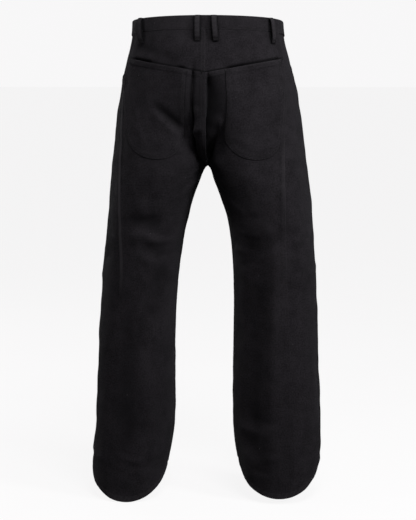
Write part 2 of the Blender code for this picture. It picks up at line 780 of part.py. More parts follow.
def build_loop(name, side, v, lean):
    """A belt loop: a flat strip that stands off the waistband between its two ends."""
    path = []
    lift = float(rim_height(v)) - float(rim_height(1.0))
    for height, off in LOOP_PATH:
        z = height + lift
        share = (height - LOOP_PATH[0][0]) / (LOOP_PATH[-1][0] - LOOP_PATH[0][0])
        spot = form(side, v, z)
        n = normal_of(form, side, np.array([v]), np.array([z]))[0]
        n[2] = 0.0
        n /= np.linalg.norm(n)
        across = np.array([-n[1], n[0], 0.0])
        path.append((spot + n * (off + 0.0003) + across * lean * share * SIGN[side], n, across))
    spots = np.array([p[0] for p in path])
    along = np.gradient(spots, axis=0)
    points = []
    for (spot, n, across), way in zip(path, along):
        way = way / np.linalg.norm(way)
        out = np.cross(across, way)
        out /= np.linalg.norm(out)
        out *= math.copysign(1.0, float(out @ n))
        for a, b in ((-0.5, 0.08), (-0.42, 0), (0.42, 0), (0.5, 0.08)):
            points.append(spot + across * LOOP_WIDTH * a + out * LOOP_WALL * b)
        for a, b in ((0.5, 0.85), (0.42, 1), (-0.42, 1), (-0.5, 0.85)):
            points.append(spot + across * LOOP_WIDTH * a + out * LOOP_WALL * b)
    faces = []
    for r in range(len(path) - 1):
        for c in range(8):
            a, b = r * 8 + c, r * 8 + (c + 1) % 8
            faces += [(a, b, b + 8), (a, b + 8, a + 8)]
    end = (len(path) - 1) * 8
    for k in range(1, 7):
        faces += [(0, k + 1, k), (end, end + k, end + k + 1)]
    add_object(name, points, faces, denim)


def build_button():
    """The waistband button, turned about the line out of the band."""
    v = -1 + 0.004 / GIRTH
    z = float(rim_height(-1.0)) - BAND / 2
    n = normal_of(form, "left", np.array([v]), np.array([z]))[0]
    n[2] = 0.0
    n /= np.linalg.norm(n)
    base = form("left", v, z) + n * (BAND_PROUD + GAP + 0.0001)
    turn = Vector((0, 0, 1)).rotation_difference(Vector(n)).to_matrix()
    points, faces = [], []
    rings = BUTTON_PROFILE[1:-1]
    for radius, height in rings:
        for k in range(BUTTON_SIDES):
            angle = 2 * math.pi * k / BUTTON_SIDES
            local = Vector((radius * math.cos(angle), radius * math.sin(angle), height))
            points.append(np.array(turn @ local) + base)
    points.append(base)
    points.append(np.array(turn @ Vector((0, 0, BUTTON_PROFILE[-1][1]))) + base)
    low, high = len(points) - 2, len(points) - 1
    last = (len(rings) - 1) * BUTTON_SIDES
    for k in range(BUTTON_SIDES):
        m = (k + 1) % BUTTON_SIDES
        faces += [(low, m, k), (high, last + k, last + m)]
        for r in range(len(rings) - 1):
            a, b = r * BUTTON_SIDES + k, r * BUTTON_SIDES + m
            faces += [(a, b, b + BUTTON_SIDES), (a, b + BUTTON_SIDES, a + BUTTON_SIDES)]
    add_object("waist_button", points, faces, metal)


def main():
    for old in list(bpy.data.objects):
        bpy.data.objects.remove(old, do_unlink=True)
    sheets = build_panels()
    for side in ("left", "right"):
        build_pocket(side, sheets[side, "back"])
        build_facing(side, sheets[side, "front"])
    build_fly(sheets["left", "front"])
    build_zip()
    build_waistband()
    for name, side, v, lean in LOOPS:
        build_loop(name, side, v, lean)
    build_button()


main()
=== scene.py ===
"""Wide leg jeans in plain black denim, as they are worn, seen from the back.

Metres, +Z up, the front faces -Y, the wearer's left is +X, and the origin is the centre of the
waist. A place on the cloth is V and Z on one side of the garment: V runs from -1 (centre front, or
the inseam below the crotch) through 0 (the outermost point) to 1 (centre back, or the inseam), and
Z is the height. Every sewn piece is a closed shell of cloth on one worn form, and every stitch
lies on it.
"""

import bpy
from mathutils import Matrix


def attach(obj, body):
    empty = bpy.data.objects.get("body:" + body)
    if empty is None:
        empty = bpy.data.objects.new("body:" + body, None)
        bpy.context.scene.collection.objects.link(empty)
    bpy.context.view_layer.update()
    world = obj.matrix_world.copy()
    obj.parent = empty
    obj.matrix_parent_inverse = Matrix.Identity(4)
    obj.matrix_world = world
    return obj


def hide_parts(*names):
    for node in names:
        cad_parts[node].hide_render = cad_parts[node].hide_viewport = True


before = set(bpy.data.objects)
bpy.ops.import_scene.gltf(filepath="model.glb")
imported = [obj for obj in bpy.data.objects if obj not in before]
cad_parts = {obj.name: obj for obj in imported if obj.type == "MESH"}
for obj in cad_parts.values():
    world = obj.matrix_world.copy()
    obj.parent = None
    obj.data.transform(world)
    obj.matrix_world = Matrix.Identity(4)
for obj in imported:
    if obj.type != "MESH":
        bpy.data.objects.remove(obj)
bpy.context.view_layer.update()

import logging
import math
from dataclasses import dataclass
from enum import Enum
from typing import Callable, Iterable, Sequence

import bpy
import numpy as np
from mathutils import Euler, Matrix, Vector

Array = np.ndarray
Faces = list[tuple[int, ...]]
Pair = tuple[float, float]
Pairs = tuple[Pair, ...]
Triple = tuple[float, float, float]
Line = Callable[[Array], Array]
Rule = Callable[[Array, Array], Array]
Material = bpy.types.Material
Object = bpy.types.Object
log = logging.getLogger("jeans")

MM = 0.001


class Side(Enum):
    """The wearer's left or right half of the garment, with its column in the tables."""

    LEFT = 1
    RIGHT = 2

    @property
    def sign(self) -> float:
        """The sign of x on this side."""
        return 1.0 if self is Side.LEFT else -1.0

    @property
    def tag(self) -> str:
        """The word for the side in a piece's name."""
        return self.name.lower()


class Face(Enum):
    """The front or back of the garment, with V at its centre seam."""

    FRONT = -1.0
    BACK = 1.0


def thousandths(*rows: Sequence[float]) -> Array:
    """A table that is written in millimetres and in thousandths of V, as metres and V."""
    return np.array(rows) / 1000


# Height, outermost x of the left and right side, depth to the front and to the back.
SECTIONS = thousandths(
    (40, 165.5, 164, 112, 112), (0, 167, 167, 115, 114), (-34, 172.5, 173, 118, 117),
    (-60, 180, 180, 120, 120), (-95, 188, 189, 122, 125), (-130, 193.5, 198, 122, 130),
    (-165, 198.5, 203.5, 121, 134), (-200, 202, 208.5, 119, 136), (-236, 206, 213, 117, 136),
    (-292, 213, 219.5, 114, 132), (-360, 219.5, 227.5, 108, 124), (-450, 229, 237, 98, 112),
    (-523, 235, 241.5, 91, 103), (-596, 240.2, 244.4, 85, 97), (-669, 246.4, 248.2, 80, 94),
    (-742, 251, 251.1, 77, 93), (-816, 255.5, 254.8, 75, 93), (-890, 258.5, 256.2, 75, 94),
    (-928, 261, 255.5, 75, 95), (-965, 262.5, 251.5, 75, 95), (-1060, 262.5, 248, 74, 94),
)

# Height, x of the left and right inseam.
INSEAMS = thousandths(
    (-291.7, 0, 0), (-294, 4.2, 3.6), (-299, 8, 6.6), (-307.3, 12, 9.5), (-325.2, 19, 15.5),
    (-343.1, 25.8, 22.2), (-361, 32.2, 28.8), (-396.8, 42.5, 41.2), (-450.8, 55, 51.5),
    (-523, 65.5, 57.3), (-596, 71.2, 59.2), (-669, 74.1, 58.3), (-742, 75.6, 57.7), (-816, 75.5, 57.7),
    (-890, 78, 59.2), (-928, 83.4, 63.1), (-965, 91, 70), (-1060, 97, 78),
)

# Height, V of the left and right outseam.
OUTSEAMS = thousandths(
    (40, 200, 270), (-60, 215, 290), (-110, 245, 345), (-165, 245, 365), (-210, 238, 365),
    (-253, 230, 348), (-292, 231, 335), (-340, 255, 345), (-410, 297, 382), (-470, 334, 402),
    (-600, 364, 402), (-800, 345, 385), (-1060, 325, 360),
)

# Main folds of each side: V and height of each end, half width, depth (out of the cloth is positive).
FOLDS = {
    Side.LEFT: thousandths(
        (938, -165, 936, -215, 11, 4.8), (938, -205, 934, -276, 12.5, 11.5),
        (860, -200, 820, -262, 7, 1.5), (840, -110, 820, -235, 14, 2), (641, -158, 768, -206, 14, -5.6),
        (620, -173, 700, -212, 11, 2.4), (480, -72, 760, -82, 16, -2.5), (420, -32, 780, -60, 13, -2.6),
        (400, -404, 630, -419, 18, -5.8), (438, -436, 654, -444, 18, 3.6),
        (526, -466, 715, -480, 20, -4.5), (640, -300, 560, -380, 26, 3.5),
        (620, -720, 660, -960, 30, 4), (450, -620, 470, -900, 30, -4), (720, -520, 640, -620, 26, -4.5),
        (-820, -205, -550, -262, 18, -5.5), (-800, -240, -480, -315, 18, 5),
        (-620, -500, -340, -520, 22, -5), (-640, -545, -360, -560, 22, 4.5),
        (-500, -620, -480, -880, 26, 4.5), (-740, -860, -300, -880, 17, -6),
        (-760, -895, -360, -910, 14, 5), (50, -700, 20, -900, 24, -3.5),
    ),
    Side.RIGHT: thousandths(
        (905, -185, 890, -245, 14, 3.5), (880, -190, 830, -262, 8, 4), (860, -205, 760, -268, 8, -3),
        (800, -110, 790, -240, 20, 4), (484, -475, 700, -465, 30, -3.2),
        (500, -420, 700, -418, 20, 2.6), (472, -480, 512, -640, 24, 6), (512, -640, 545, -960, 24, 6),
        (640, -560, 660, -880, 32, -4.7), (781, -868, 565, -886, 10, 2.2),
        (780, -894, 640, -908, 16, -1.6), (740, -930, 758, -985, 22, 4.5),
        (-820, -205, -570, -255, 18, -5.5), (-800, -235, -500, -300, 18, 4.5),
        (-600, -515, -320, -500, 22, -5), (-620, -560, -360, -545, 22, 4.5),
        (-500, -620, -520, -880, 26, 4.5), (-720, -875, -280, -860, 17, -6),
        (-720, -905, -340, -895, 14, 5), (80, -640, 60, -860, 24, -3.5),
    ),
}

# Tight tucks with a sharp bottom, in the same columns.
TUCKS = {
    Side.LEFT: thousandths(
        (909, -80, 899, -190, 4.5, -13.5), (899, -190, 822, -268, 4.2, -7.5),
        (962, -215, 940, -270, 5, -5),
    ),
    Side.RIGHT: thousandths(
        (984, -98, 982, -200, 6.5, -6), (982, -200, 968, -270, 7, -6), (978, -105, 976, -200, 24, -15),
        (488, -458, 518, -640, 11, 2.6), (520, -640, 545, -940, 11, 2.2),
        (976, -205, 962, -268, 20, -10),
    ),
}

# Soft patches of painted shade and painted highlight: V and height of the middle, half width
# and half height, how much lighter in thousandths (below 0 is painted shade).
PAINTED_LIGHT_PATCHES = {
    Side.LEFT: thousandths(
        (800, -248, 26, 24, -400), (975, -135, 16, 62, -600), (845, -130, 22, 55, -350),
        (550, -290, 75, 60, -420), (660, -150, 60, 60, -420), (560, -830, 90, 100, -500),
        (700, 0, 110, 24, 140),
    ),
    Side.RIGHT: thousandths(
        (925, -165, 30, 70, -450), (600, -940, 50, 70, -550), (960, -470, 40, 46, 3000),
        (500, -780, 80, 120, -160), (300, -900, 60, 140, -150),
    ),
}

# V and height down, round and up the back pockets' outlines, from the inner end of the mouth.
POCKET_LEFT = thousandths(
    (868, -60), (857, -145), (814, -203), (762, -230), (706, -250), (646, -266), (590, -271),
    (541, -272), (474, -269), (413, -260), (356, -243), (323, -218), (306, -168), (285, -110),
    (262, -30),
)
POCKET_RIGHT = thousandths(
    (855, -60), (850, -145), (828, -199), (780, -230), (712, -252), (650, -265), (595, -271),
    (543, -273), (482, -271), (435, -264), (405, -252), (392, -235), (398, -167), (380, -110),
    (340, -30),
)

# Where the back pockets' mouths stand open: V of both ends, depth of the sunk cloth behind.
MOUTHS = {
    Side.LEFT: ((0.355, 0.585, 0.0052), (0.775, 0.868, 0.0040)),
    Side.RIGHT: ((0.355, 0.860, 0.0040), (0.355, 0.480, 0.0016), (0.700, 0.860, 0.0016)),
}

# Finer creases, in the same columns.
CREASES = {
    Side.LEFT: thousandths(
        (955, -215, 760, -300, 7, -1.8), (965, -250, 800, -330, 6, 1.4),
        (940, -262, 700, -352, 8, -1.6), (900, -300, 640, -372, 9, 1.4), (470, -395, 590, -392, 6, 1.4),
        (560, -428, 700, -436, 6, -1.6), (600, -449, 760, -452, 6, 1.6), (480, -482, 640, -500, 7, 1.4),
        (640, -492, 840, -480, 7, -1.4), (360, -330, 450, -372, 8, 1.2),
        (500, -330, 540, -400, 7, -1.2), (560, -560, 500, -680, 8, 1.3),
        (740, -620, 700, -760, 9, -1.4), (560, -780, 600, -900, 8, -1.2), (420, -930, 640, -952, 8, 2),
        (520, -962, 800, -944, 8, -1.8), (440, -990, 600, -1006, 7, 1.4), (560, -230, 700, -246, 7, 1),
        (420, -150, 480, -230, 8, 1), (300, -110, 420, -128, 8, -1.2), (340, -66, 420, -94, 7, -1.2),
        (100, -180, 160, -330, 10, 1.4), (0, -300, 60, -470, 11, -1.4), (160, -440, 280, -452, 8, 1.4),
        (120, -500, 240, -486, 9, -1.5), (-180, -520, 60, -540, 10, 1.5), (80, -930, 300, -948, 9, 1.8),
        (-120, -962, 120, -946, 9, -1.8), (-880, -170, -700, -205, 7, 1.5),
        (-900, -228, -640, -286, 7, -1.5), (-940, -262, -760, -330, 7, 1.4),
        (-700, -190, -420, -228, 8, -1.2), (-300, -130, -120, -160, 10, 1.2),
        (-460, -480, -260, -470, 7, 1.4), (-700, -520, -500, -530, 7, 1.4),
        (-560, -580, -300, -596, 8, -1.4), (-640, -700, -620, -820, 9, -1.4),
        (-260, -640, -300, -800, 10, 1.4), (-640, -836, -400, -842, 7, 1.8),
        (-840, -876, -640, -872, 7, 1.6), (-540, -930, -240, -938, 8, -2),
        (-700, -950, -440, -966, 8, 1.8),
    ),
    Side.RIGHT: thousandths(
        (965, -230, 780, -306, 7, -1.6), (955, -262, 760, -345, 8, 1.5),
        (925, -292, 700, -372, 8, -1.4), (860, -330, 660, -395, 9, 1.3),
        (560, -340, 500, -410, 8, -1.2), (520, -402, 640, -398, 6, -1.4),
        (600, -436, 780, -430, 6, 1.5), (660, -480, 860, -470, 7, 1.6), (580, -498, 760, -508, 7, -1.3),
        (780, -446, 900, -470, 7, -1.4), (600, -580, 560, -700, 8, -1.3),
        (740, -640, 720, -790, 9, 1.4), (600, -760, 620, -850, 8, 1.2), (700, -846, 520, -858, 7, -1.6),
        (480, -930, 660, -944, 8, 1.8), (560, -972, 700, -960, 7, -1.5), (600, -240, 740, -226, 7, 1),
        (440, -140, 470, -220, 8, -1), (350, -70, 430, -100, 7, -1.2), (120, -190, 180, -340, 10, -1.3),
        (20, -320, 80, -480, 11, 1.4), (180, -460, 330, -448, 8, 1.4), (200, -506, 340, -520, 9, -1.4),
        (-160, -530, 60, -512, 10, 1.5), (100, -920, 300, -936, 9, -1.8),
        (-140, -950, 100, -966, 9, 1.8), (-890, -174, -720, -206, 7, 1.4),
        (-910, -232, -660, -282, 7, -1.4), (-930, -268, -740, -338, 8, 1.4),
        (-680, -196, -440, -220, 8, 1.2), (-280, -140, -100, -166, 10, -1.2),
        (-440, -470, -240, -486, 7, -1.4), (-680, -536, -480, -524, 7, 1.4),
        (-560, -590, -320, -578, 8, 1.4), (-640, -690, -600, -810, 9, 1.4),
        (-280, -660, -240, -800, 10, -1.3), (-620, -848, -400, -834, 7, 1.6),
        (-860, -884, -660, -890, 7, -1.6), (-520, -936, -240, -922, 8, 1.8),
        (-680, -966, -420, -950, 8, -1.6),
    ),
}

# Ripples of the whole cloth: length of a wave across and along, its start, its height.
RIPPLES = (
    (0.210, 0.330, 0.4, 0.00050),
    (-0.150, 0.260, 1.9, 0.00040),
    (0.093, 0.410, 3.1, 0.00030),
    (-0.071, 0.150, 5.2, 0.00025),
    (0.240, 0.083, 2.2, 0.00028),
    (-0.170, 0.061, 0.9, 0.00022),
    (0.052, 0.190, 4.1, 0.00018),
    (0.110, 0.039, 2.8, 0.00014),
    (-0.037, 0.120, 1.2, 0.00012),
)


def smooth(t: Array) -> Array:
    """A soft step from 0 to 1."""
    t = np.clip(t, 0, 1)
    return t * t * (3 - 2 * t)


def fall(x: Array, start: float, over: float) -> Array:
    """1 up to start, then a soft fall to 0 over a distance."""
    return 1 - smooth((x - start) / over)


def run_length(points: Array) -> Array:
    """How far each point of a path is from its first one, along the path."""
    return np.concatenate([[0], np.cumsum(np.linalg.norm(np.diff(points, axis=0), axis=1))])


def resampled(points: Array, lengths: Array, at: Array) -> Array:
    """Points of a path at distances along it."""
    return np.stack([np.interp(at, lengths, points[:, k]) for k in range(points.shape[1])], axis=-1)


def hermite(x: Array, y: Array, at: Array) -> Array:
    """A smooth curve through a row of points.

    Args:
        x: Where the points are, rising.
        y: Their values.
        at: Where the curve is wanted.

    Returns:
        Its values there.
    """
    slope = np.gradient(y, x)
    at = np.clip(at, x[0], x[-1])
    i = np.clip(np.searchsorted(x, at) - 1, 0, len(x) - 2)
    h = x[i + 1] - x[i]
    t = (at - x[i]) / h
    left = (1 + 2 * t) * (1 - t) ** 2 * y[i] + t * (1 - t) ** 2 * h * slope[i]
    right = t * t * (3 - 2 * t) * y[i + 1] + t * t * (t - 1) * h * slope[i + 1]
    return left + right


def look_up(table: Array, column: int, z: Array) -> Array:
    """A table's column at the heights z, through its rows, which go down, with a smooth curve."""
    return hermite(table[::-1, 0], table[::-1, column], z)


def unit(vectors: Array) -> Array:
    """Vectors made one long."""
    return vectors / np.maximum(np.linalg.norm(vectors, axis=-1, keepdims=True), 1e-12)


def waver(length: Array, seed: float) -> Array:
    """An uneven wave along a seam, from -1 to 1, for its puckers."""
    a = np.sin(length * 2 * math.pi / 0.0113 + seed)
    b = np.sin(length * 2 * math.pi / 0.0187 + 2.3 * seed + 1.0)
    c = np.sin(length * 2 * math.pi / 0.0071 + 0.7 * seed)
    return 0.45 * a + 0.35 * b + 0.20 * c


@dataclass(frozen=True)
class WornForm:
    """The form of the jeans as worn, with the folds of the cloth and the lines of the cut."""

    girth: float = 0.31
    crotch: float = -0.2917
    seat_start: float = -0.115
    seat_square: float = 2.4
    seat_soft: float = 1.1
    seat_from: float = 0.62
    side_change: float = 0.235
    fork_step: float = 0.007
    fork_weights: tuple[float, ...] = (0.08, 0.15, 0.18, 0.18, 0.18, 0.15, 0.08)
    leg_even: float = 0.14
    gather_from: float = 0.60
    band: float = 0.030
    rim_side: float = 0.0222
    rim_tilt: float = 0.0125
    yoke_side: float = -0.053
    yoke_centre: float = -0.0867
    hem_back: Pair = (-1.0396, -1.0280)
    hem_side_lift: float = 0.072
    hem_front_lift: float = 0.026
    # How deep a fold's valley is for full painted shade.
    fade_depth: float = 0.0080
    dips: float = 1.0
    dip_above: float = 0.0006
    dip_half: float = 0.0036
    dip_end: float = 0.010

    def gathered(self, s: Array) -> Array:
        """V's share of a turn, with the points close together towards the inner end."""
        t = np.clip((s - self.gather_from) / (1 - self.gather_from), 0, 1)
        ease = t * (1 - t) ** 2 + t * t * (3 - 2 * t)
        return np.where(s < self.gather_from, s, self.gather_from + (1 - self.gather_from) * ease)

    @staticmethod
    def rounded(angle: Array, power: float) -> Array:
        """The reach of a rounded square of half width 1 in a direction."""
        return (abs(np.cos(angle)) ** power + abs(np.sin(angle)) ** power) ** (-1 / power)

    def form(self, side: Side, v: Array, z: Array) -> Array:
        """Points of the garment without its folds.

        Args:
            side: The half of the garment.
            v: Places round it.
            z: Heights.

        Returns:
            The points, with x, y and z last.
        """
        v, z = np.broadcast_arrays(np.asarray(v, float), np.asarray(z, float))
        points = self.outline(side, v, z)
        near = smooth((0.93 - abs(v)) / 0.10) * smooth((0.050 - abs(z - self.crotch)) / 0.025)
        spots = near > 0
        if spots.any():
            at, level, share = v[spots], z[spots], near[spots][:, None]
            even = np.zeros((len(at), 2))
            for step, weight in enumerate(self.fork_weights, -3):
                even += weight * self.outline(side, at, level + step * self.fork_step)[:, :2]
            points[spots, :2] = points[spots, :2] * (1 - share) + even * share
        return points

    def outline(self, side: Side, v: Array, z: Array) -> Array:
        """Points of the plain form, before the level of the fork is made even."""
        above = z >= self.crotch
        turned = abs(v) > 1
        s = np.where(turned, 2 - abs(v), abs(v))
        back = np.where(turned & ~above, v < 0, v >= 0)
        mirror = np.where(turned & above, -1.0, 1.0)
        out = look_up(SECTIONS, side.value, z)
        inner = np.where(above, 0.0, look_up(INSEAMS, side.value, np.minimum(z, self.crotch)))
        depth = np.where(back, look_up(SECTIONS, 4, z), -look_up(SECTIONS, 3, z))
        down = np.clip((self.seat_start - z) / (self.seat_start - self.crotch), 0, 1)
        soft = self.seat_soft * smooth((1 - s) / 0.16)
        seat = 1 - (1 - down**self.seat_square) ** (1 / self.seat_square + soft)
        flank = smooth((self.seat_start - z) / self.side_change)
        leg = flank + (seat - flank) * smooth((s - self.seat_from) / (0.97 - self.seat_from))
        quarter = s * math.pi / 2
        reach = self.rounded(quarter, 2.3)
        hip_x = out * reach * np.cos(quarter)
        hip_y = depth * reach * np.sin(quarter)
        even = smooth((self.crotch - z) / self.leg_even)
        half = math.pi * (even * s + (1 - even) * self.gathered(s))
        reach = self.rounded(half, 2.15)
        leg_x = (out + inner) / 2 + (out - inner) / 2 * reach * np.cos(half)
        leg_y = depth * reach * np.sin(half)
        x = mirror * ((1 - leg) * hip_x + leg * leg_x)
        y = (1 - leg) * hip_y + leg * leg_y
        return np.stack([side.sign * x, y, z], axis=-1)

    def normal(self, surface: Callable, side: Side, v: Array, z: Array) -> Array:
        """Outward normals of a surface of this garment at v and z."""
        dv, dz = 0.003, 0.0004
        a = surface(side, v + dv, z) - surface(side, v - dv, z)
        b = surface(side, v, z + dz) - surface(side, v, z - dz)
        return unit(np.cross(a, b) * side.sign)

    def level_normal(self, side: Side, v: Array, z: Array) -> Array:
        """Outward normals of the plain form, turned level."""
        return unit(self.normal(self.form, side, v, z) * (1, 1, 0))

    def fold_depth(self, side: Side, v: Array, z: Array) -> Array:
        """How far the folds, creases and ripples move the cloth out."""
        v, z = np.broadcast_arrays(np.asarray(v, float), np.asarray(z, float))
        across = v * self.girth
        drift = 0.0022 * np.sin(z * 61 + across * 17) + 0.0016 * np.sin(across * 83 - z * 23)
        total = np.zeros(v.shape)
        for table, wander, power in ((FOLDS, 0.5, 2.0), (CREASES, 1.0, 2.0), (TUCKS, 0.2, 1.1)):
            for va, za, vb, zb, half_width, depth in table[side]:
                px = across - va * self.girth + drift * wander
                pz = z - za + drift * wander
                qx, qz = (vb - va) * self.girth, zb - za
                t = np.clip((px * qx + pz * qz) / (qx * qx + qz * qz), -0.3, 1.3)
                off = np.hypot(px - t * qx, pz - t * qz) / half_width
                along = smooth((0.75 - abs(t - 0.5)) / 0.4)
                total += depth * along * np.exp(-1.2 * off**power)
        for long, tall, start, height in RIPPLES:
            phase = across * side.sign / long + z / tall
            total += height * np.sin(2 * math.pi * phase + start * side.value)
        edge = smooth((1 - abs(v)) * self.girth / 0.0055)
        return total * edge * smooth((self.waist_seam(v) - 0.006 - z) / 0.030)

    def fading(self, side: Side, v: Array, z: Array) -> Array:
        """Painted shade in the folds' valleys below 0 and lighter ridges above 0, with the patches of
        painted light and shade added.
        """
        depth = self.fold_depth(side, v, z) / self.fade_depth
        total = np.where(depth < 0, np.maximum(depth, -1.3), np.minimum(0.35 * depth, 0.12))
        for middle, height, wide, tall, amount in PAINTED_LIGHT_PATCHES[side]:
            far = ((v - middle) * self.girth / wide) ** 2 + ((z - height) / tall) ** 2
            total = total + amount * np.exp(-far)
        return np.maximum(total, -1.3)

    def dip(self, side: Side, v: Array, z: Array) -> Array:
        """How far the cloth sinks in along the open parts of the back pocket's mouth."""
        v, z = np.broadcast_arrays(np.asarray(v, float), np.asarray(z, float))
        off = (z - self.yoke_seam(v) - self.dip_above) / self.dip_half
        total = np.zeros(v.shape)
        for first, last, depth in MOUTHS[side]:
            past, before = (v - first) * self.girth, (last - v) * self.girth
            total += depth * smooth(past / self.dip_end) * smooth(before / self.dip_end)
        return self.dips * total * np.exp(-off * off)

    def cloth(self, side: Side, v: Array, z: Array) -> Array:
        """Points of the garment with its folds."""
        depth = (self.fold_depth(side, v, z) - self.dip(side, v, z))[..., None]
        return self.form(side, v, z) + self.normal(self.form, side, v, z) * depth

    def cloth_normal(self, side: Side, v: Array, z: Array) -> Array:
        """Outward normals of the cloth, in the middle plane along the seat seam."""
        v, z = np.broadcast_arrays(np.asarray(v, float), np.asarray(z, float))
        n = self.normal(self.cloth, side, v, z)
        seat = (abs(abs(v) - 1) < 1e-6) & (z >= self.crotch - 1e-6)
        n[seat, 0] = 0.0
        n[seat & (z <= self.crotch + 1e-6)] = (0.0, 0.0, -1.0)
        return unit(n)

    def lifted(self, side: Side, v: Array, z: Array, off: Array) -> Array:
        """Points at a distance out of the cloth."""
        off = np.asarray(off, float)[..., None]
        return self.cloth(side, v, z) + self.cloth_normal(side, v, z) * off

    def outseam(self, side: Side, z: Array) -> Array:
        """V of the outseam."""
        return look_up(OUTSEAMS, side.value, z)

    def rim(self, v: Array) -> Array:
        """The waistband's top edge, higher at the back."""
        return self.rim_side + self.rim_tilt * np.sin(np.clip(v, -1, 1) * math.pi / 2)

    def above_back(self, v: float) -> float:
        """How far the rim lies above its height at the centre back."""
        return float(self.rim(np.array(v))) - float(self.rim(np.array(1.0)))

    def waist_seam(self, v: Array) -> Array:
        """The waistband's lower edge."""
        return self.rim(v) - self.band

    def yoke_seam(self, v: Array) -> Array:
        """The seam under the yoke, lowest at the centre back."""
        drop = self.yoke_side - self.yoke_centre
        return self.yoke_centre + drop * np.cos(np.clip(v, 0, 1) * math.pi / 2)

    def hem(self, side: Side, v: Array) -> Array:
        """The bottom edge of a leg: lowest at the back and lifted at the front."""
        up = np.sin(np.asarray(v, float) * math.pi)
        front = self.hem_side_lift - self.hem_front_lift * up
        lift = np.where(up > 0, self.hem_side_lift * (1 - up), front)
        return self.hem_back[side.value - 1] + lift


FORM = WornForm()
OVER_DIPS = WornForm(dips=0.0)
GIRTH = FORM.girth


class SeamRuler:
    """Measures how far a place lies from a seam that runs down the garment."""

    def __init__(self, side: Side, seam: Line, way: float) -> None:
        """Measures along level lines that leave the seam.

        Args:
            side: The half of the garment.
            seam: V of the seam at a height.
            way: The sign of V's change away from the seam, into the cloth.
        """
        self.seam, self.way = seam, way
        self.levels = np.linspace(-1.07, 0.04, 371)
        self.steps = np.linspace(-0.04, 0.20, 121)
        v = seam(self.levels)[:, None] + way * self.steps
        points = FORM.form(side, v, self.levels[:, None])
        length = np.linalg.norm(np.diff(points, axis=1), axis=-1)
        far = np.concatenate([np.zeros((len(v), 1)), np.cumsum(length, axis=1)], axis=1)
        zero = int(np.argmin(abs(self.steps)))
        self.far = far - far[:, zero : zero + 1]

    @staticmethod
    def mark(scale: Array, at: Array) -> tuple[Array, Array]:
        """Numbers of the marks of an even scale below values, and how far past them these are."""
        place = np.clip((at - scale[0]) / (scale[1] - scale[0]), 0, len(scale) - 1.001)
        number = place.astype(int)
        return number, place - number

    def distance(self, v: Array, z: Array) -> Array:
        """How far places lie from the seam, into the cloth, up to where the ruler ends."""
        i, a = self.mark(self.levels, z)
        k, b = self.mark(self.steps, (v - self.seam(z)) * self.way)
        low = self.far[i, k] * (1 - b) + self.far[i, k + 1] * b
        high = self.far[i + 1, k] * (1 - b) + self.far[i + 1, k + 1] * b
        return low * (1 - a) + high * a

    def place(self, far: Array, z: float) -> Array:
        """V at distances from the seam, at one height."""
        i, a = self.mark(self.levels, z)
        line = self.far[i] * (1 - a) + self.far[i + 1] * a
        return self.seam(np.asarray(z)) + self.way * np.interp(far, line, self.steps)


class Graph:
    """The nodes of one material."""

    def __init__(self, name: str) -> None:
        """Starts a material with a Principled shader."""
        self.material = bpy.data.materials.new(name)
        self.material.use_nodes = True
        self.tree = self.material.node_tree
        self.shader = self.tree.nodes["Principled BSDF"]

    def node(self, kind: str, settings: dict | None = None, sockets: dict | None = None) -> "Sock":
        """Adds a node.

        Args:
            kind: The node's type.
            settings: Its settings, which are made before the sockets.
            sockets: Values or links by the name or number of its sockets.

        Returns:
            Its first output.
        """
        made = self.tree.nodes.new(kind)
        for key, value in (settings or {}).items():
            setattr(made, key, value)
        for key, value in (sockets or {}).items():
            self.link(value, made.inputs[key])
        return Sock(self, made.outputs[0])

    def link(self, value: "Sock | float | tuple", socket: bpy.types.NodeSocket) -> None:
        """Gives a socket a value or a link."""
        if isinstance(value, Sock):
            self.tree.links.new(value.socket, socket)
        else:
            socket.default_value = value

    def math(self, operation: str, *values: "Sock | float") -> "Sock":
        """Adds a Math node on values or links."""
        return self.node("ShaderNodeMath", {"operation": operation}, dict(enumerate(values)))

    def mix(self, share: "Sock | float", a: "Sock | tuple", b: "Sock | tuple") -> "Sock":
        """Mixes two colours."""
        made = self.tree.nodes.new("ShaderNodeMix")
        made.data_type = "RGBA"
        self.link(share, made.inputs[0])
        for value, place in ((a, 6), (b, 7)):
            self.link(value if isinstance(value, Sock) else (*value, 1.0), made.inputs[place])
        return Sock(self, made.outputs[2])

    def noise(self, where: "Sock", scale: float, detail: float = 3.0) -> "Sock":
        """Soft noise around 0.5."""
        return self.node(
            "ShaderNodeTexNoise", None, {"Vector": where, "Scale": scale, "Detail": detail}
        )

    def spread(self, where: "Sock", scale: Triple) -> "Sock":
        """A place multiplied along its three directions."""
        return self.node("ShaderNodeVectorMath", {"operation": "MULTIPLY"}, {0: where, 1: scale})

    def finish(self, values: dict, height: "Sock | None", depth: float, strength: float) -> None:
        """Sets the shader's sockets and its bump.

        Args:
            values: Values or links by socket name.
            height: The height of the relief, from 0 to 1.
            depth: How deep a relief of 1 is, in metres.
            strength: How much of it shows.
        """
        for key, value in values.items():
            self.link(value, self.shader.inputs[key])
        if height is not None:
            bump = self.node(
                "ShaderNodeBump", None, {"Strength": strength, "Distance": depth, "Height": height}
            )
            self.link(bump, self.shader.inputs["Normal"])


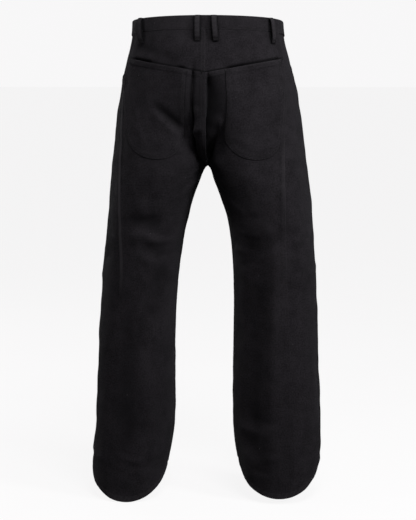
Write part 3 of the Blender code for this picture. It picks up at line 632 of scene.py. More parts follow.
class Sock:
    """A node's output that can be used in sums."""

    def __init__(self, graph: Graph, socket: bpy.types.NodeSocket) -> None:
        """Keeps the socket with its graph."""
        self.graph, self.socket = graph, socket

    def output(self, name: str) -> "Sock":
        """Another output of the same node."""
        return Sock(self.graph, self.socket.node.outputs[name])

    def __add__(self, other: "Sock | float") -> "Sock":
        """The sum."""
        return self.graph.math("ADD", self, other)

    def __radd__(self, other: float) -> "Sock":
        """The sum, from the right."""
        return self.graph.math("ADD", other, self)

    def __sub__(self, other: "Sock | float") -> "Sock":
        """The difference."""
        return self.graph.math("SUBTRACT", self, other)

    def __rsub__(self, other: float) -> "Sock":
        """The difference, from the right."""
        return self.graph.math("SUBTRACT", other, self)

    def __mul__(self, other: "Sock | float") -> "Sock":
        """The product."""
        return self.graph.math("MULTIPLY", self, other)

    def __rmul__(self, other: float) -> "Sock":
        """The product, from the right."""
        return self.graph.math("MULTIPLY", other, self)

    def clamp(self) -> "Sock":
        """The value kept from 0 to 1."""
        return self.graph.node("ShaderNodeClamp", None, {0: self})

    def step(self, low: float, high: float) -> "Sock":
        """A soft step between two values."""
        return self.graph.node(
            "ShaderNodeMapRange",
            {"interpolation_type": "SMOOTHSTEP"},
            {"Value": self, "From Min": low, "From Max": high},
        )

    def sine(self) -> "Sock":
        """The sine, moved to lie from 0 to 1."""
        return 0.5 + 0.5 * self.graph.math("SINE", self)


@dataclass(frozen=True)
class DenimFinish:
    """Black denim: a twill of black yarn, uneven along the warp, with lint, rubbed edges, painted shade
    and painted highlight.
    """

    name: str = "black_denim"
    deep: Triple = (0.0056, 0.0048, 0.0060)
    face: Triple = (0.0197, 0.0173, 0.0208)
    rubbed: Triple = (0.034, 0.031, 0.035)
    # The colour of painted shade in creases, beside seams and around the belt loops.
    unfaded: Triple = (0.0030, 0.0026, 0.0034)
    lint: Triple = (0.24, 0.24, 0.25)
    warp: float = 0.00044
    twill_across: float = 0.00132
    twill_up: float = 0.00190
    sheen: float = 0.03

    def material(self) -> Material:
        """Makes the material on the cloth's own map, which is in metres."""
        g = Graph(self.name)
        place = g.node("ShaderNodeUVMap", {"uv_map": "cut"})
        parts = g.node("ShaderNodeSeparateXYZ", None, {0: place})
        across, up = parts, parts.output("Y")
        turn = 2 * math.pi
        wobble = g.noise(place, 160.0, 2.0)
        slant = across * (turn / self.twill_across) - up * (turn / self.twill_up)
        twill = (slant + wobble * 5.0).sine()
        yarn = (across * (turn / self.warp) + wobble * 3.0).sine()
        slub = g.noise(g.spread(place, (1150.0, 42.0, 1.0)), 1.0, 2.0)
        weft = g.noise(g.spread(place, (50.0, 900.0, 1.0)), 1.0, 2.0)
        cloud = g.noise(place, 14.0, 4.0)
        fade = g.noise(place, 55.0, 3.0)
        mottle = g.noise(place, 300.0, 2.0)
        grain = slub * 0.5 + weft * 0.3 + twill * 0.2
        tone = (grain - 0.5) * 1.5 + (mottle - 0.5) * 1.9
        tone = tone + (cloud - 0.5) * 0.9 + (fade - 0.5) * 0.8 + 0.5
        colour = g.mix(tone.clamp(), self.deep, self.face)
        wear = g.node("ShaderNodeAttribute", {"attribute_name": "wear"}).output("Fac")
        # The attribute mixes towards the rubbed colour above 0, for rubbing and painted highlight, and
        # towards painted shade below 0.
        worn = (wear * (0.35 + grain * 1.1)).clamp()
        colour = g.mix(worn, colour, self.rubbed)
        colour = g.mix((wear * -0.75).clamp(), colour, self.unfaded)
        scatter = {"Vector": place, "Scale": 62.0, "Randomness": 1.0}
        cells = g.node("ShaderNodeTexVoronoi", None, scatter)
        pick = g.node("ShaderNodeSeparateColor", None, {0: cells.output("Color")})
        fluff = (1.0 - cells.step(0.020, 0.046)) * pick.step(0.80, 0.84)
        colour = g.mix(fluff * 0.55, colour, self.lint)
        height = twill * 0.55 + yarn * 0.15 + slub * 0.30 + weft * 0.20
        values = {
            "Base Color": colour,
            "Roughness": 0.86 + (slub - 0.5) * 0.16,
            "Specular IOR Level": 0.10,
            "Sheen Weight": self.sheen,
            "Sheen Roughness": 0.55,
            "Sheen Tint": (0.52, 0.52, 0.58, 1.0),
        }
        g.finish(values, height, 0.00032, 0.75)
        return g.material


@dataclass(frozen=True)
class ThreadFinish:
    """Black sewing thread, plied and a little glossier than the cloth."""

    name: str = "black_thread"
    colour: Triple = (0.0080, 0.0074, 0.0084)
    light: Triple = (0.0160, 0.0150, 0.0166)

    def material(self) -> Material:
        """Makes the material, with the ply as fine slanted bands."""
        g = Graph(self.name)
        place = g.node("ShaderNodeTexCoord").output("Object")
        parts = g.node("ShaderNodeSeparateXYZ", None, {0: place})
        ply = ((parts + parts.output("Z") + parts.output("Y")) * 9000.0).sine()
        fuzz = g.noise(place, 700.0, 2.0)
        colour = g.mix((ply * 0.6 + fuzz * 0.5).clamp(), self.colour, self.light)
        values = {"Base Color": colour, "Roughness": 0.55 + fuzz * 0.15, "Specular IOR Level": 0.25}
        g.finish(values, ply, 0.00008, 0.5)
        return g.material


@dataclass(frozen=True)
class MetalFinish:
    """Dark brushed metal with fine scratches and rubbed high places."""

    name: str
    colour: Triple = (0.105, 0.100, 0.096)
    rubbed: Triple = (0.230, 0.220, 0.205)
    roughness: float = 0.34

    def material(self) -> Material:
        """Makes the material."""
        g = Graph(self.name)
        place = g.node("ShaderNodeTexCoord").output("Object")
        brush = g.noise(g.spread(place, (4200.0, 4200.0, 260.0)), 1.0, 3.0)
        patch = g.noise(place, 420.0, 3.0)
        colour = g.mix(patch.step(0.50, 0.72) * 0.6, self.colour, self.rubbed)
        values = {
            "Base Color": colour,
            "Metallic": 1.0,
            "Roughness": self.roughness + (brush - 0.5) * 0.22,
        }
        g.finish(values, brush * 0.5 + patch * 0.5, 0.00005, 0.4)
        return g.material


@dataclass(frozen=True)
class FloorFinish:
    """A plain pale studio floor with a faint unevenness."""

    name: str = "studio_floor"
    colour: Triple = (0.11, 0.11, 0.11)
    shade: Triple = (0.09, 0.09, 0.09)
    glow: float = 0.885

    def material(self) -> Material:
        """Makes the material."""
        g = Graph(self.name)
        place = g.node("ShaderNodeTexCoord").output("Object")
        cloud = g.noise(place, 1.6, 4.0)
        values = {
            "Base Color": g.mix(cloud, self.shade, self.colour),
            "Roughness": 0.62 + cloud * 0.1,
            "Specular IOR Level": 0.1,
            "Emission Color": (1.0, 0.995, 0.998, 1.0),
            "Emission Strength": self.glow,
        }
        g.finish(values, cloud, 0.0004, 0.1)
        return g.material


@dataclass
class Finishes:
    """The finishes that the pieces share."""

    denim: Material
    thread: Material
    button: Material
    zip: Material

    @classmethod
    def make(cls) -> "Finishes":
        """Makes them all."""
        metal = MetalFinish("button_metal").material()
        teeth = MetalFinish("zip_metal", (0.16, 0.155, 0.15), (0.30, 0.29, 0.27), 0.30).material()
        return cls(DenimFinish().material(), ThreadFinish().material(), metal, teeth)


@dataclass
class Cloth:
    """Cloth as faces on points with a normal, a place, two distances and a wear, which holds painted
    light and shade too.

    The columns of data are x, y, z, the normal's three, V, Z, outer, inner and wear, which holds painted
    light and shade too.
    """

    side: Side
    data: Array
    faces: Faces

    @classmethod
    def grid(cls, side: Side, v: Array, z: Array, outer: Array, inner: Array, wear: Array) -> "Cloth":
        """Cloth through a grid of places.

        Args:
            side: The half of the garment.
            v: Places round it, in rows.
            z: Heights.
            outer: How far out the cloth's face lies.
            inner: How far out its back lies.
            wear: How rubbed it is, with painted light and shade added.

        Returns:
            The cloth.
        """
        points, normals = FORM.cloth(side, v, z), FORM.cloth_normal(side, v, z)
        more = np.stack(np.broadcast_arrays(v, z, outer, inner, wear), axis=-1)
        data = np.concatenate([points, normals, more], axis=-1)
        rows, columns = v.shape
        return cls(side, data.reshape(-1, 11), quads(rows, columns))

    def clipped(self, rule: Rule) -> "Cloth":
        """The part where rule(V, Z) is positive, cut along the line where it is zero."""
        value = rule(self.data[:, 6], self.data[:, 7])
        value = np.where(abs(value) < 0.0004, 0.0, value)
        data, cuts, faces = list(self.data), {}, []
        for face in self.faces:
            here = value[list(face)]
            if here.min() >= 0 and here.max() > 0:
                faces.append(face)
                continue
            if here.max() <= 0:
                continue
            ring = []
            for i, a in enumerate(face):
                b = face[(i + 1) % len(face)]
                if value[a] >= 0:
                    ring.append(a)
                if value[a] * value[b] < 0:
                    key = (min(a, b), max(a, b))
                    if key not in cuts:
                        t = value[key[0]] / (value[key[0]] - value[key[1]])
                        cuts[key] = len(data)
                        data.append(self.data[key[0]] * (1 - t) + self.data[key[1]] * t)
                    ring.append(cuts[key])
            if len(ring) >= 3:
                faces.append(tuple(ring))
        used = sorted({k for face in faces for k in face})
        new = {k: i for i, k in enumerate(used)}
        kept = [tuple(new[k] for k in face) for face in faces]
        return Cloth(self.side, np.array(data)[used], kept)

    def build(self, name: str, material: Material) -> Object:
        """Makes the closed shell.

        Args:
            name: The piece's name.
            material: Its finish.

        Returns:
            The object.
        """
        d = self.data
        count = len(d)
        outer = d[:, 0:3] + d[:, 3:6] * d[:, 8:9]
        inner = d[:, 0:3] + d[:, 3:6] * d[:, 9:10]
        sides: set[tuple[int, int]] = set()
        for face in self.faces:
            for i, a in enumerate(face):
                sides.add((a, face[(i + 1) % len(face)]))
        faces = list(self.faces)
        faces += [tuple(k + count for k in reversed(face)) for face in self.faces]
        faces += [(b, a, a + count, b + count) for a, b in sides if (b, a) not in sides]
        middle = self.faces[len(self.faces) // 2]
        a, b, c = (outer[k] for k in middle[:3])
        if float(np.cross(b - a, c - a) @ d[middle[0], 3:6]) < 0:
            faces = [tuple(reversed(face)) for face in faces]
        cut = np.stack([d[:, 6] * GIRTH * self.side.sign, d[:, 7]], axis=-1)
        points = np.concatenate([outer, inner])
        wear = np.concatenate([d[:, 10], d[:, 10] * 0.3])
        return add_piece(name, points, faces, material, np.concatenate([cut, cut]), wear)


def quads(rows: int, columns: int, closed: bool = False) -> Faces:
    """Faces of a grid of points, joined across its columns where it is closed."""
    faces = []
    for r in range(rows - 1):
        for c in range(columns if closed else columns - 1):
            a, b = r * columns + c, r * columns + (c + 1) % columns
            faces.append((a, b, b + columns, a + columns))
    return faces


def capped_tube(points: Array, inside: int, outside: int) -> Faces:
    """Faces of a closed tube through rings of points, with its two ends shut.

    Args:
        points: The rings, with x, y and z last.
        inside: Number of a point of the ring on its inner side.
        outside: Number of the point that lies out from it, which starts the face that is tested.

    Returns:
        The faces, which point outwards.
    """
    rows, size = points.shape[:2]
    faces = quads(rows, size, closed=True)
    faces += [tuple(range(size)), tuple(reversed(range((rows - 1) * size, rows * size)))]
    a, b, c = (points.reshape(-1, 3)[k] for k in faces[outside][:3])
    if float(np.cross(b - a, c - a) @ (points[0, outside] - points[0, inside])) < 0:
        faces = [tuple(reversed(face)) for face in faces]
    return faces


def add_piece(
    name: str,
    points: Array,
    faces: Sequence[tuple[int, ...]],
    material: Material,
    cut: Array | None = None,
    wear: Array | None = None,
) -> Object:
    """Makes a smooth mesh object at the origin.

    Args:
        name: The piece's name.
        points: Its points, in metres.
        faces: Its faces.
        material: Its finish.
        cut: Each point's place on the cut, in metres.
        wear: Each point's wear, with painted light and shade added.

    Returns:
        The object.
    """
    name = f"{name}_piece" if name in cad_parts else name
    mesh = bpy.data.meshes.new(name)
    mesh.from_pydata(np.asarray(points).tolist(), [], faces)
    mesh.materials.append(material)
    if cut is not None:
        layer = mesh.uv_layers.new(name="cut")
        index = np.empty(len(mesh.loops), dtype=np.int32)
        mesh.loops.foreach_get("vertex_index", index)
        layer.data.foreach_set("uv", np.ascontiguousarray(cut[index], dtype=np.float32).ravel())
    if wear is not None:
        mesh.attributes.new("wear", "FLOAT", "POINT").data.foreach_set(
            "value", np.asarray(wear, dtype=np.float32)
        )
    mesh.shade_smooth()
    mesh.update()
    made = bpy.data.objects.new(name, mesh)
    bpy.context.scene.collection.objects.link(made)
    return made


def add_box(size: Triple, spot: Triple = (0, 0, 0)) -> Object:
    """Adds a box and makes it the active object, the only one selected."""
    bpy.ops.object.select_all(action="DESELECT")
    bpy.ops.mesh.primitive_cube_add(size=1.0)
    made = bpy.context.object
    made.data.transform(Matrix.Translation(spot) @ Matrix.Diagonal((*size, 1.0)))
    return made


def round_edges(made: Object, width: float, segments: int) -> None:
    """Bevels the sharp edges of the active object."""
    bevel = made.modifiers.new("edges", "BEVEL")
    bevel.width, bevel.segments, bevel.limit_method = width, segments, "ANGLE"
    bpy.ops.object.modifier_apply(modifier="edges")


def settle(made: Object, place: Matrix, material: Material) -> None:
    """Moves a mesh to its place and gives it one smooth finish."""
    made.data.transform(place)
    made.data.materials.clear()
    made.data.materials.append(material)
    made.data.shade_smooth()


def declare(piece: Object, slot: str, nodes: Iterable[str] = ()) -> Object:
    """Hangs a piece on the root, hides the nodes that it stands for and logs its triangles and half
    area.
    """
    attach(piece, "root")
    if nodes:
        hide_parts(*nodes)
    faces = piece.data.polygons
    triangles = sum(len(face.vertices) - 2 for face in faces)
    area = sum(face.area for face in faces) / 2
    log.info("%s: %d triangles, half area %.4f m2", piece.name, triangles, area)
    return piece


@dataclass(frozen=True)
class FelledEdge:
    """The edge of a panel that is folded and laps over its neighbour, with two rows of stitches."""

    width: float = 9.5 * MM
    shoulder: float = 3.2 * MM
    rise: float = 0.95 * MM
    groove: float = 0.20 * MM
    rows: Pair = (1.6 * MM, 8.0 * MM)

    def height(self, far: Array, along: Array, seed: float) -> Array:
        """How far the cloth lies out at distances from the edge, with its puckers."""
        band = fall(far, self.width, self.shoulder)
        fold = 0.42 * fall(far, 0, 0.7 * MM)
        swell = 0.16 * waver(along, seed) * smooth(far / MM)
        return self.rise * band * (1 - fold + swell)

    def dent(self, far: Array) -> Array:
        """How far the stitches pull the cloth in."""
        total = sum(np.exp(-(((far - row) / (0.55 * MM)) ** 2)) for row in self.rows)
        return -self.groove * total

    def rubbing(self, far: Array, along: Array, seed: float) -> Array:
        """How rubbed the edge is."""
        edge = fall(far, 0, 1.3 * MM)
        ridge = 0.07 * fall(far, self.width, self.shoulder)
        return edge * 0.5 + ridge * (0.5 + 0.5 * waver(along, seed + 0.6))


LOOPS = (
    ("loop_back_left", Side.LEFT, 0.936, 0.0),
    ("loop_back_right", Side.RIGHT, 0.916, 3.6 * MM),
    ("loop_side_left", Side.LEFT, 0.430, -8.0 * MM),
    ("loop_side_right", Side.RIGHT, 0.400, 2.0 * MM),
    ("loop_front_left", Side.LEFT, -0.470, 0.0),
    ("loop_front_right", Side.RIGHT, -0.470, 0.0),
)
LOOP_ENDS = (-0.0190, 0.0333)
LOOP_TALL = 0.052


def under_loops(side: Side, v: Array, z: Array) -> Array:
    """Painted shadow on the cloth beside and below the belt loops, reaching further on the side where
    their cast shadow falls.
    """
    total = np.zeros(np.broadcast(v, z).shape)
    for _, loop_side, place, lean in LOOPS:
        if loop_side is side:
            up = (z - FORM.above_back(place) - LOOP_ENDS[0]) / (LOOP_ENDS[1] - LOOP_ENDS[0])
            off = abs((v - place) * GIRTH - lean * np.clip(up, 0, 1)) - 6.2 * MM
            below = smooth(1 - np.maximum(-up * LOOP_TALL, 0) / (3.5 * MM))
            total = np.maximum(total, 1.3 * smooth((5.6 * MM - off) / (4.0 * MM)) * below)
            # The painted shadow reaches further on one side of each loop, where its cast shadow falls.
            shadow_side = np.where((v - place) * side.sign < 0, 0.8, 0.0)
            total = np.maximum(total, shadow_side * smooth((10.5 * MM - off) / (7.0 * MM)) * below)
    return total


FELL = FelledEdge()
WALL = 0.9 * MM
SUNK = 0.05 * MM
OVER_STEPS = np.array(
    (0, 0.1, 0.25, 0.45, 0.8, 1.2, 1.6, 2.2, 3.4, 5.2, 6.8, 7.4, 8.0, 8.6, 9.4, 10.6, 12.5, 15.5)
) * MM
UNDER_STEPS = np.array(
    (-5, -2.5, -0.8, 0, 0.8, 1.6, 2.6, 3.8, 5.0, 6.2, 7.2, 8.0, 8.8, 9.8, 11.0, 12.4, 14.0, 15.5)
) * MM


@dataclass
class Panel:
    """A leg panel or yoke: its cut lines, which of its edges lap over, and its grid."""

    name: str
    side: Side
    face: Face
    top: Line
    bottom: Line
    flat: Pair
    area: float
    laps_top: bool = False
    hemmed: bool = False
    under_bottom: float = 0.0
    cell: float = 4.6 * MM
    finer_in: float = 0.0
    hem_fold: float = 12.5 * MM
    sewn_to: float = -0.268
    pressed_below: float = -0.40
    pressed_by: float = 0.65

    def __post_init__(self) -> None:
        """Makes the rulers for the two long edges."""
        end = self.face.value
        self.outer_edge = SeamRuler(self.side, lambda z: FORM.outseam(self.side, z), end)
        self.inner_edge = SeamRuler(self.side, lambda z: np.full(np.shape(z), end), -end)

    def laps_inner(self, z: Array) -> Array:
        """How much the centre seam or inseam edge laps over at heights z."""
        z = np.asarray(z, float)
        seat = smooth((z - FORM.crotch) / 0.012)
        leg = smooth((FORM.crotch - z) / 0.012)
        if self.face is Face.BACK:
            return seat if self.side is Side.LEFT else np.zeros(z.shape)
        if self.side is Side.RIGHT:
            return leg
        return smooth((Fly.end - z) / 0.010)

    def height(self, v: Array, z: Array) -> Array:
        """How far out the cloth's face lies."""
        out, inn = self.outer_edge.distance(v, z), self.inner_edge.distance(v, z)
        laps_out = 1.0 if self.face is Face.BACK else 0.0
        laps_in = self.laps_inner(z)
        pressed = 1 - self.pressed_by * smooth((self.pressed_below - z) / 0.15)
        rise = laps_out * pressed * FELL.height(out, z, self.side.value)
        rise = np.maximum(rise, laps_in * FELL.height(inn, z, 3.1))
        dent = laps_out * FELL.dent(out) * self.outseam_sewn(z) + laps_in * FELL.dent(inn)
        if self.laps_top:
            low = self.top(v) - z
            rise = np.maximum(rise, FELL.height(low, v * GIRTH, 1.4))
            dent = dent + FELL.dent(low)
        if self.hemmed:
            up = z - self.bottom(v)
            rope = waver(v * GIRTH + 0.8 * up, self.side.value + 2.0)
            fold = fall(up, self.hem_fold, 2.0 * MM)
            rise = rise + fold * (0.25 + 0.30 * rope) * MM
            dent = dent - 0.25 * MM * np.exp(-(((up - self.hem_fold + 1.5 * MM) / (0.6 * MM)) ** 2))
            dent = dent - 0.5 * MM * fall(up, 0, 0.9 * MM)
        sunk = SUNK * (1 - laps_in) * fall(inn, 6 * MM, 4 * MM)
        sunk = np.maximum(sunk, SUNK * (1 - laps_out) * fall(out, 6 * MM, 4 * MM))
        return rise + dent - sunk

    def outseam_sewn(self, z: Array) -> Array:
        """How much of the outseam's top stitching there is at heights z."""
        return smooth((np.asarray(z, float) - self.sewn_to + 7 * MM) / (10 * MM))

    def depth(self, v: Array, z: Array) -> Array:
        """How far out the cloth's back lies."""
        base = self.height(v, z) - WALL
        if not self.hemmed:
            return base
        return base - fall(z - self.bottom(v), self.hem_fold, 1.2 * MM) * 1.25 * MM

    def wear(self, v: Array, z: Array) -> Array:
        """How rubbed the cloth is, most along its folded edges, with painted shade and painted highlight
        added.
        """
        out, inn = self.outer_edge.distance(v, z), self.inner_edge.distance(v, z)
        total = self.laps_inner(z) * FELL.rubbing(inn, z, 3.1)
        if self.face is Face.BACK:
            # Painted shade along the centre seam on the seat, in place of some of its rubbing.
            seat = smooth((-0.085 - z) / 0.02)
            total = total * (1 - 0.8 * seat) - 0.8 * seat * fall(inn, 0.5 * MM, 2.8 * MM)
            left = self.side is Side.LEFT
            # A painted highlight along the outseam's lap over a band of heights, added to its rubbing.
            start, end, ridge = (-0.10, -0.60, 0.65) if left else (-0.22, -0.47, 0.15)
            outseam_rub_and_highlight = 0.5 + 2.3 * smooth((start - z) / 0.06) * smooth((z - end) / 0.16)
            total = np.maximum(total, outseam_rub_and_highlight * FELL.rubbing(out, z, self.side.value))
            band = fall(out, 5.5 * MM, 3.5 * MM)
            total = np.maximum(total, (outseam_rub_and_highlight - 0.5) * ridge * band)
        if self.under_bottom:
            up = z - self.bottom(v)
            # Painted shadow on the yoke just above its lower seam.
            total = total - 1.3 * fall(up, 1.8 * MM, 2.8 * MM)
        if self.laps_top:
            total = np.maximum(total, FELL.rubbing(self.top(v) - z, v * GIRTH, 1.4))
            # Painted shadow beside the pocket's inner edge.
            total = total - self.beside_pocket(v, z)
        if self.hemmed:
            up = z - self.bottom(v)
            rope = 0.5 + 0.5 * waver(v * GIRTH + 0.8 * up, self.side.value + 2.0)
            total = np.maximum(total, fall(up, self.hem_fold, 2 * MM) * rope * 0.6)
            total = np.maximum(total, 0.9 * fall(up, 0, 1.6 * MM))
        # Painted light and shade of the folds and patches added, painted shadow of the belt loops taken
        # off.
        return np.clip(total, -1.3, 1) + FORM.fading(self.side, v, z) - under_loops(self.side, v, z)

    def beside_pocket(self, v: Array, z: Array) -> Array:
        """Painted shadow on the cloth along the outside of its pocket's inner edge."""
        edge = (POCKET_LEFT if self.side is Side.LEFT else POCKET_RIGHT)[:5]
        near = np.interp(-z, -edge[:, 1], edge[:, 0])
        far = (v - near) * GIRTH
        line = smooth(1 + far / (0.4 * MM)) * fall(far, 2.4 * MM, 2.6 * MM)
        return 1.1 * line * smooth((z + 0.228) / 0.025)

    def levels(self) -> list[Pair]:
        """The grid's rows as a share of the way from top to bottom, and a distance added."""
        end = np.array(self.face.value)
        high, low = float(self.top(end)), float(self.bottom(end))
        tall = high - low
        first = OVER_STEPS if self.laps_top else np.array((0, 0.8, 2, 4)) * MM
        last = np.array((18, 15.5, 14.0, 12.5, 11.6, 11.0, 10.4, 9, 6, 3.5, 1.8, 0.9, 0.4, 0)) * MM
        if self.under_bottom:
            last = np.array((10, 8, 6.4, 5, 3.8, 2.6, 1.6, 0.7, 0)) * MM
        start, stop = high - first[-1] - self.cell * 1.2, low + last[0] + self.cell * 1.2
        heights = [start]
        while heights[-1] > stop:
            near = abs(heights[-1] - FORM.crotch)
            heights.append(heights[-1] - self.cell * (0.35 + 0.65 * float(smooth(near / 0.035))))
        heights = np.array(heights)
        heights = start + (heights - start) * (stop - start) / (heights[-1] - start)
        if not self.under_bottom:
            nearest = int(np.argmin(abs(heights - FORM.crotch)))
            heights = heights + (FORM.crotch - heights[nearest]) * (
                np.clip(1 - abs(heights - FORM.crotch) / 0.05, 0, 1)
            )
        middle = [((high - z) / tall, 0.0) for z in heights]
        if self.under_bottom:
            ends = [(float(step) / tall, 0.0) for step in first]
            feet = [(1 - float(step) / tall, 0.0) for step in last]
            return ends + middle + feet + [(1.0, -1.0 * MM), (1.0, -self.under_bottom)]
        ends = [(0.0, -float(step)) for step in first]
        return ends + middle + [(1.0, float(step)) for step in last]

    def grid(self) -> tuple[Array, Array]:
        """V and Z of the panel's grid."""
        end = self.face.value
        wide = abs(end - float(FORM.outseam(self.side, -0.5))) * GIRTH
        count = int((wide - 31 * MM) / self.cell)
        across, up = [], []
        for share, add in self.levels():
            line = lambda v: self.top(v) * (1 - share) + self.bottom(v) * share + add
            v0 = np.array(0.3)
            for _ in range(7):
                v0 = FORM.outseam(self.side, line(v0))
            z0, z1 = float(line(v0)), float(line(np.array(end)))
            a = self.outer_edge.place(self.steps(1.0 if self.face is Face.BACK else 0.0, 1.0), z0)
            near = float(smooth(np.array(abs(z1 - FORM.crotch) / 0.03)))
            b = self.inner_edge.place(self.steps(float(self.laps_inner(z1)), near), z1)
            share_in = np.linspace(0, 1, count + 2)[1:-1]
            share_in = share_in + self.finer_in * share_in * (1 - share_in)
            v = np.concatenate([a, a[-1] + (b[-1] - a[-1]) * share_in, b[::-1]])
            z = line(v)
            if abs(z1 - FORM.crotch) < 0.0004:
                z = z + (FORM.crotch - z1)
            across.append(v)
            up.append(z)
        return np.array(across), np.array(up)

    @staticmethod
    def steps(laps: float, near: float) -> Array:
        """Distances of the first columns from an edge, which runs under its neighbour or not."""
        under = np.where(UNDER_STEPS < 0, UNDER_STEPS * max(near, 0.03), UNDER_STEPS)
        return OVER_STEPS * laps + under * (1 - laps)

    def cloth(self) -> Cloth:
        """The panel's cloth."""
        v, z = self.grid()
        return Cloth.grid(self.side, v, z, self.height(v, z), self.depth(v, z), self.wear(v, z))


class Fly:
    """Sizes of the fly that the front panels share."""

    top = float(FORM.waist_seam(np.array(-1.0)))
    end = -0.158
    width = 0.036
    bend = end + width


class Threads:
    """Rows of stitches that become one piece."""

    def __init__(self, name: str, pitch: float = 3.3 * MM, radius: float = 0.27 * MM) -> None:
        """Starts with no stitches.

        Args:
            name: The piece's name.
            pitch: From one stitch to the next.
            radius: Of the thread.
        """
        self.name, self.pitch, self.radius = name, pitch, radius
        self.points: list[Array] = []
        self.faces: Faces = []
        self.count = 0
        self.chance = np.random.default_rng(len(name) * 7 + sum(map(ord, name)))

    def row(self, path: Array, normals: Array) -> None:
        """Adds a row of stitches.

        Args:
            path: Points along the row, on the cloth.
            normals: The cloth's normals there.
        """
        length = run_length(path)
        count = max(1, int(round(length[-1] / self.pitch)))
        stations = np.array((0.10, 0.30, 0.72, 0.92))
        heights = np.array((-0.35, 0.62, 0.62, -0.35)) * self.radius
        sizes = np.array((0.55, 1.0, 1.0, 0.55)) * self.radius
        at = (np.arange(count)[:, None] + stations) * length[-1] / count
        at = at + self.chance.uniform(-0.05, 0.05, (count, 1)) * self.pitch
        spot, n = resampled(path, length, at), unit(resampled(normals, length, at))
        along = unit(np.gradient(spot, axis=1))
        across = unit(np.cross(n, along))
        slants = np.array((-1, -0.5, 0.5, 1))
        sway = self.chance.uniform(-0.22, 0.22, (count, 1)) * self.radius * slants
        spot = spot + n * heights[:, None] + across * sway[..., None]
        angle = 2 * math.pi * np.arange(STITCH_SIDES)[:, None] / STITCH_SIDES
        arms = across[:, :, None] * np.cos(angle) + n[:, :, None] * np.sin(angle) * 0.85
        rings = spot[:, :, None] + arms * sizes[:, None, None]
        self.points.append(rings.reshape(-1, 3))
        for base in range(self.count, self.count + rings[..., 0].size, rings[0, ..., 0].size):
            self.faces += [tuple(base + j for j in face) for face in STITCH_FACES]
        self.count += rings[..., 0].size

    def build(self, finishes: Finishes) -> Object | None:
        if not self.count:
            return None
        piece = add_piece(self.name, np.concatenate(self.points), self.faces, finishes.thread)
        return declare(piece, "waistband_back")


STITCH_SIDES = 5
STITCH_FACES = [
    (i * 5 + k, i * 5 + (k + 1) % 5, i * 5 + 5 + (k + 1) % 5, i * 5 + 5 + k)
    for i in range(3)
    for k in range(STITCH_SIDES)
] + [(4, 3, 2, 1, 0), (15, 16, 17, 18, 19)]


def sew(
    threads: Threads, side: Side, v: Array, z: Array, height: Callable, form: WornForm = FORM
) -> None:
    """Adds a row of stitches through places on the cloth.

    Args:
        threads: The piece that it joins.
        side: The half of the garment.
        v: Places round it.
        z: Heights.
        height: How far out the cloth's face lies at V and Z.
        form: The form that the cloth lies on.
    """
    v, z = np.asarray(v, float), np.asarray(z, float)
    threads.row(form.lifted(side, v, z, height(v, z)), form.cloth_normal(side, v, z))


def panels() -> dict[str, Panel]:
    """The four leg panels and two yokes, each with its own cut lines."""
    made = {}
    gap, tuck = 0.3 * MM, 2.2 * MM
    below_yoke = lambda v: FORM.yoke_seam(v) - gap
    under_band = lambda v: FORM.waist_seam(v) + tuck
    for side in Side:
        hem = lambda v, side=side: FORM.hem(side, v)
        back, front, yoke = (f"{part}_{side.tag}" for part in ("back", "front", "yoke"))
        flat, area = (0.262, 0.985), 0.222
        made[back] = Panel(back, side, Face.BACK, below_yoke, hem, flat, area, True, True, finer_in=0.45)
        flat, area = (0.420, 1.000), 0.385
        made[front] = Panel(front, side, Face.FRONT, under_band, hem, flat, area, hemmed=True)
        flat, area, cell = (0.222, 0.082), 0.0158, 4.0 * MM
        made[yoke] = Panel(
            yoke, side, Face.BACK, under_band, FORM.yoke_seam, flat, area, under_bottom=4 * MM, cell=cell
        )
    return made


